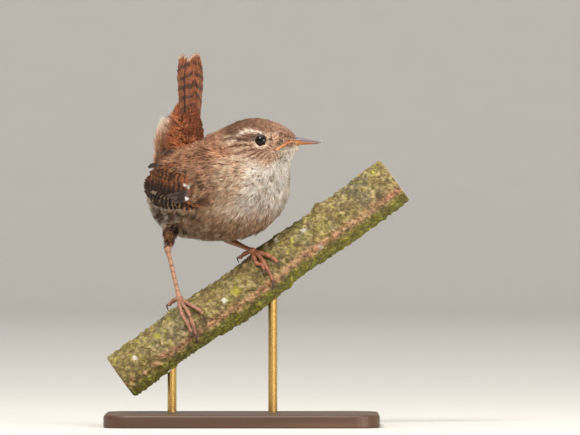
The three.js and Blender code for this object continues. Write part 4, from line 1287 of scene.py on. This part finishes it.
def branch():
    """The branch with its crusted bark, and its two sawn ends."""
    low, high = -BRANCH_ZERO, BRANCH_LENGTH - BRANCH_ZERO
    along = np.linspace(low, high, BRANCH_RINGS)[:, None]
    degrees = np.linspace(0, 360, BRANCH_SIDES, endpoint=False)[None, :]
    flat = on_branch(along, degrees, 0.0).reshape(-1, 3)
    crust = 0.55 * (cloud(flat, 3.2, 4) - 0.5) + 0.5 * smooth(cloud(flat, 1.5, 2), 0.5, 0.75) - 0.15
    cracks = 0.3 * smooth(noise(flat * (0.35, 1, 1), 0.9), 0.3, 0.15)
    lift = (crust - cracks).reshape(BRANCH_RINGS, BRANCH_SIDES)
    end = smooth(np.minimum(along + BRANCH_ZERO, high - along), 0, 0.6)
    surface = on_branch(along, degrees, lift * end - 0.35 * (1 - end))
    wrapped = np.where(degrees > 180, degrees - 360, degrees) + 0 * along
    colours = branch_tint(flat, (along + 0 * degrees).ravel(), wrapped.ravel())
    points, faces = loft(surface)
    colours = np.concatenate([colours, [LICHEN, LICHEN]])
    add_piece("perch_branch", (points, faces, colours), bark_look, "perch_branch")
    for name, rim, at, inwards in (("cut_low", surface[0], low, 1), ("cut_high", surface[-1], high, -1)):
        cut_end(name, rim, unit(on_branch(at, 0, 0) - on_branch(at + inwards, 0, 0)))


def cut_end(name, rim, out):
    """A thin disc with year rings over a sawn end."""
    middle = rim.mean(axis=0)
    disc = middle + (rim - middle)[None] * np.linspace(0.97, 0.02, 40)[:, None, None]
    front, back = disc + out * 0.12, disc[::-1] - out * 0.2
    points, faces = loft(np.concatenate([front[::-1], back[::-1]]))
    away = np.linalg.norm(points - middle, axis=1) + 0.8 * cloud(points, 4)
    colours = mix(CUT_WOOD, CUT_RING, smooth(np.sin(away * 7), 0.2, 0.9))
    add_piece(name, (points, faces, colours), wood_look)


branch()


# Legs

TARSUS_RADIUS, TOE_RADIUS, SCUTES = 0.72, 0.72, 8
# How far toes and claws stay over the bark, and how high a toe's middle lies
OVER_BARK = 0.42
TOE_LIFT = TOE_RADIUS + OVER_BARK
# Places on the branch: how far along, how far round from its top, and how high over the bark
LEGS = {
    "right": dict(
        tint=LEG, toe_tint=FOOT, knee=0.5, knee_reach=0.1,
        foot=(-2.6, 17, 1.9),
        toes=dict(outer=[(-3.6, 34), (-4.8, 62), (-5.1, 84), (-5.8, 101)],
                  middle=[(-2.7, 38), (-2.6, 60), (-3.6, 88), (-5.0, 112)],
                  inner=[(-1.6, 36), (-0.4, 56), (0.8, 72), (1.2, 84)],
                  hind=[(-4.6, 8, 2.2), (-6.6, 2, 1.9)]),
        claws=dict(outer=(-6.8, 116), middle=(-6.8, 134), inner=(0.4, 99), hind=(-8.0, -12))),
    "left": dict(
        tint=LEG_LEFT_SHADED, toe_tint=LEG_LEFT_SHADED, knee=0.6, knee_reach=0.45,
        # The far leg takes the darker, more orange colour: painted shade and painted warm light from the
        # belly
        foot=(29.2, 27, 1.9),
        toes=dict(inner=[(28.2, 42), (27.5, 58), (28.4, 70), (28, 80)],
                  middle=[(29.8, 44), (29.5, 66), (28.9, 86), (27.6, 108)],
                  outer=[(30.8, 46), (32, 62), (32.8, 76), (32.9, 87)],
                  hind=[(26.6, 16, 2.1), (24.2, 8, 1.8)]),
        claws=dict(inner=(26.0, 92), middle=(25.2, 128), outer=(32.2, 101), hind=(22.4, -8))),
}


def toe_place(place):
    """A toe's place on the branch, at the usual height where it gives none."""
    along, degrees, lift = (*place, TOE_LIFT)[:3]
    return on_branch(along, degrees, lift)


def leg_tint(points, share, count, ground):
    """Scutes darker at their edges, over a mottled ground."""
    plate = (share * count) % 1
    edge = 0.45 * smooth(plate, 0.7, 0.95)
    return mix(ground, LEG_DARK, edge + 0.35 * smooth(noise(points, 0.9), 0.5, 0.8))


def leg(name):
    """A shank with its foot and claws."""
    spec = LEGS[name]
    foot = on_branch(*spec["foot"])
    ankle = THIGHS[name][1]
    way = unit(foot - ankle)
    top, bottom = ankle - way * 0.6, foot - way * 0.4

    def shank(share):
        joint = spec["knee"] * bump(share, 0, spec["knee_reach"]) + 0.25 * bump(share, 1, 0.08)
        plates = 0.11 * (1 - (share * SCUTES) % 1)
        return TARSUS_RADIUS + joint + plates

    points, faces, share = tube_along([top, (top + bottom) / 2, bottom], shank, sides=20, rings=150)
    colours = leg_tint(points, share, SCUTES, spec["tint"])
    add_piece(f"tarsus_{name}", (points, faces, colours), leg_look, f"tarsus_{name}")
    palm, palm_faces = loft(ball_rings(16, 24))
    palm = foot + palm * (1.45, 1.35, 1.25)
    pieces = [(palm, palm_faces, leg_tint(palm, np.zeros(len(palm)), 1, spec["toe_tint"]))]
    for toe, places in spec["toes"].items():
        points = [foot] + [toe_place(p) for p in places]
        spans = len(points) - 1

        def plump(share, spans=spans):
            swell = 0.1 * np.cos(share * math.pi * 2 * spans)
            plates = 0.06 * (1 - (share * spans * 4) % 1)
            rounded = np.sqrt(np.clip(1 - smooth(share, 0.93, 1.02) ** 2 * 0.8, 0, 1))
            return (TOE_RADIUS * (1.1 - 0.24 * share) + swell + plates) * rounded

        tube, faces, share = tube_along(points, plump, sides=16, rings=30 * spans)
        pieces.append((tube, faces, leg_tint(tube, share, spans * 4, spec["toe_tint"])))
        claw(name, toe, places, spec["claws"][toe])
    add_piece(f"foot_{name}", join(pieces), leg_look, f"foot_{name}")


def claw(name, toe, places, tip_place):
    """A curved claw from a toe's last place to its tip on the bark."""
    last, before = toe_place(places[-1]), toe_place(places[-2])
    start = last - unit(last - before) * 0.15
    tip = on_branch(*tip_place, OVER_BARK)
    lift = (*places[-1], TOE_LIFT)[2] + 0.35
    bend = on_branch((places[-1][0] + tip_place[0]) / 2, (places[-1][1] + tip_place[1]) / 2, lift)

    def taper(share):
        return 0.08 + 0.5 * (1 - share) ** 0.8

    points, faces, share = tube_along([start, bend, tip], taper, sides=14, rings=40, flat=0.85)
    colours = mix(CLAW, 0.5 * np.array(CLAW), share)
    add_piece(f"claw_{name}_{toe}", (points, faces, colours), claw_look, f"claw_{name}_{toe}")


leg("right")
leg("left")


# The stand

BASE_CORNER, BASE_BEVEL = 9.0, 0.9


def stand_base():
    """The rounded base with a small bevel round its top."""
    high = np.array(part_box("stand_base"))[1] / MM
    levels = [(0.0, 0.4), (0.4, 0.0), (high[2] - BASE_BEVEL, 0.0)]
    levels += [(high[2] - BASE_BEVEL + BASE_BEVEL * math.sin(a), BASE_BEVEL * (1 - math.cos(a)))
               for a in np.linspace(0.2, math.pi / 2, 6)]
    rings = []
    for z, inset in levels:
        ring = []
        for k, (sx, sy) in enumerate([(1, 1), (-1, 1), (-1, -1), (1, -1)]):
            cx, cy = sx * (high[0] - BASE_CORNER), sy * (high[1] - BASE_CORNER)
            turn = np.linspace(0, math.pi / 2, 12) + k * math.pi / 2
            r = BASE_CORNER - inset
            ring += [(cx + r * math.cos(a), cy + r * math.sin(a), z) for a in turn]
        rings.append(ring)
    points, faces = loft(rings)
    colours = mix(STAND_WOOD, STAND_GRAIN, noise(points * (0.05, 1, 1), 2.5))
    add_piece("stand_base", (points, faces, colours), wood_look, "stand_base", flat=True)


stand_base()
for rod in ("stand_rod_1", "stand_rod_2"):
    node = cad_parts[rod]
    node.data.materials.clear()
    node.data.materials.append(brass_look)


# The floor, light and camera

FLOOR_REACH, WALL_BEND, WALL_TOP = 3000, 1200, 2600
FLOOR_SIDES, FLOOR_DROP = 96, 0.02


def stage():
    """A round floor that bends up into a low wall all round, beyond every camera."""
    bend = np.linspace(0, math.pi / 2, 24)
    reach = FLOOR_REACH + WALL_BEND * np.sin(bend)
    radius = np.concatenate([[1, 200, 700], reach, [FLOOR_REACH + WALL_BEND]])
    height = np.concatenate([[0, 0, 0], WALL_BEND * (1 - np.cos(bend)), [WALL_TOP]]) - FLOOR_DROP
    angle = circle(FLOOR_SIDES)
    points = np.stack([np.outer(radius, np.cos(angle)), np.outer(radius, np.sin(angle)),
                       np.repeat(height[:, None], FLOOR_SIDES, axis=1)], axis=-1).reshape(-1, 3)
    make_object("floor", points, ring_quads(len(radius), FLOOR_SIDES), floor_look)


stage()


def area_light(name, place, aim, size, power, colour=(1, 1, 1)):
    """A round soft light at a place in metres, aimed at another."""
    data = bpy.data.lights.new(name, "AREA")
    data.shape = "DISK"
    data.size = size
    data.energy = power
    data.color = colour
    lamp = bpy.data.objects.new(name, data)
    bpy.context.scene.collection.objects.link(lamp)
    lamp.location = place
    lamp.rotation_euler = (Vector(aim) - Vector(place)).to_track_quat("-Z", "Y").to_euler()


AIM = (0, 0, 0.085)
area_light("key", (-0.25, -0.65, 0.8), AIM, 0.3, 9.0, (1.0, 0.97, 0.93))
area_light("fill", (0.75, -0.75, 0.3), AIM, 0.6, 8.0, (1.0, 0.98, 0.96))
area_light("room", (0, -0.6, 4.2), (0, 0, 0), 5.0, 190.0)

world = bpy.data.worlds.new("studio")
world.use_nodes = True
background = world.node_tree.nodes["Background"]
background.inputs["Color"].default_value = (0.9, 0.93, 1.0, 1)
background.inputs["Strength"].default_value = 0.35
bpy.context.scene.world = world
bpy.context.scene.view_settings.view_transform = "Standard"

# The photo's size in pixels, and how many millimetres a pixel shows at the branch
IMAGE_WIDTH, IMAGE_HEIGHT, MM_A_PIXEL = 580, 435, 0.35
# The width of the camera's sensor, and how far off it stands, in millimetres
SENSOR, CAMERA_AWAY = 36.0, 2500
# The pixels where the stand's middle and the floor lie
AXIS_PIXEL, FLOOR_PIXEL = 242, 426
camera_data = bpy.data.cameras.new("camera")
camera_data.sensor_width = SENSOR
camera_data.lens = SENSOR * CAMERA_AWAY / (IMAGE_WIDTH * MM_A_PIXEL)
camera_data.clip_end = 20
camera = bpy.data.objects.new("camera", camera_data)
bpy.context.scene.collection.objects.link(camera)
camera.location = ((IMAGE_WIDTH / 2 - AXIS_PIXEL) * MM_A_PIXEL * MM, -CAMERA_AWAY * MM,
                   (FLOOR_PIXEL - IMAGE_HEIGHT / 2) * MM_A_PIXEL * MM)
camera.rotation_euler = (math.pi / 2, 0, 0)
bpy.context.scene.camera = camera
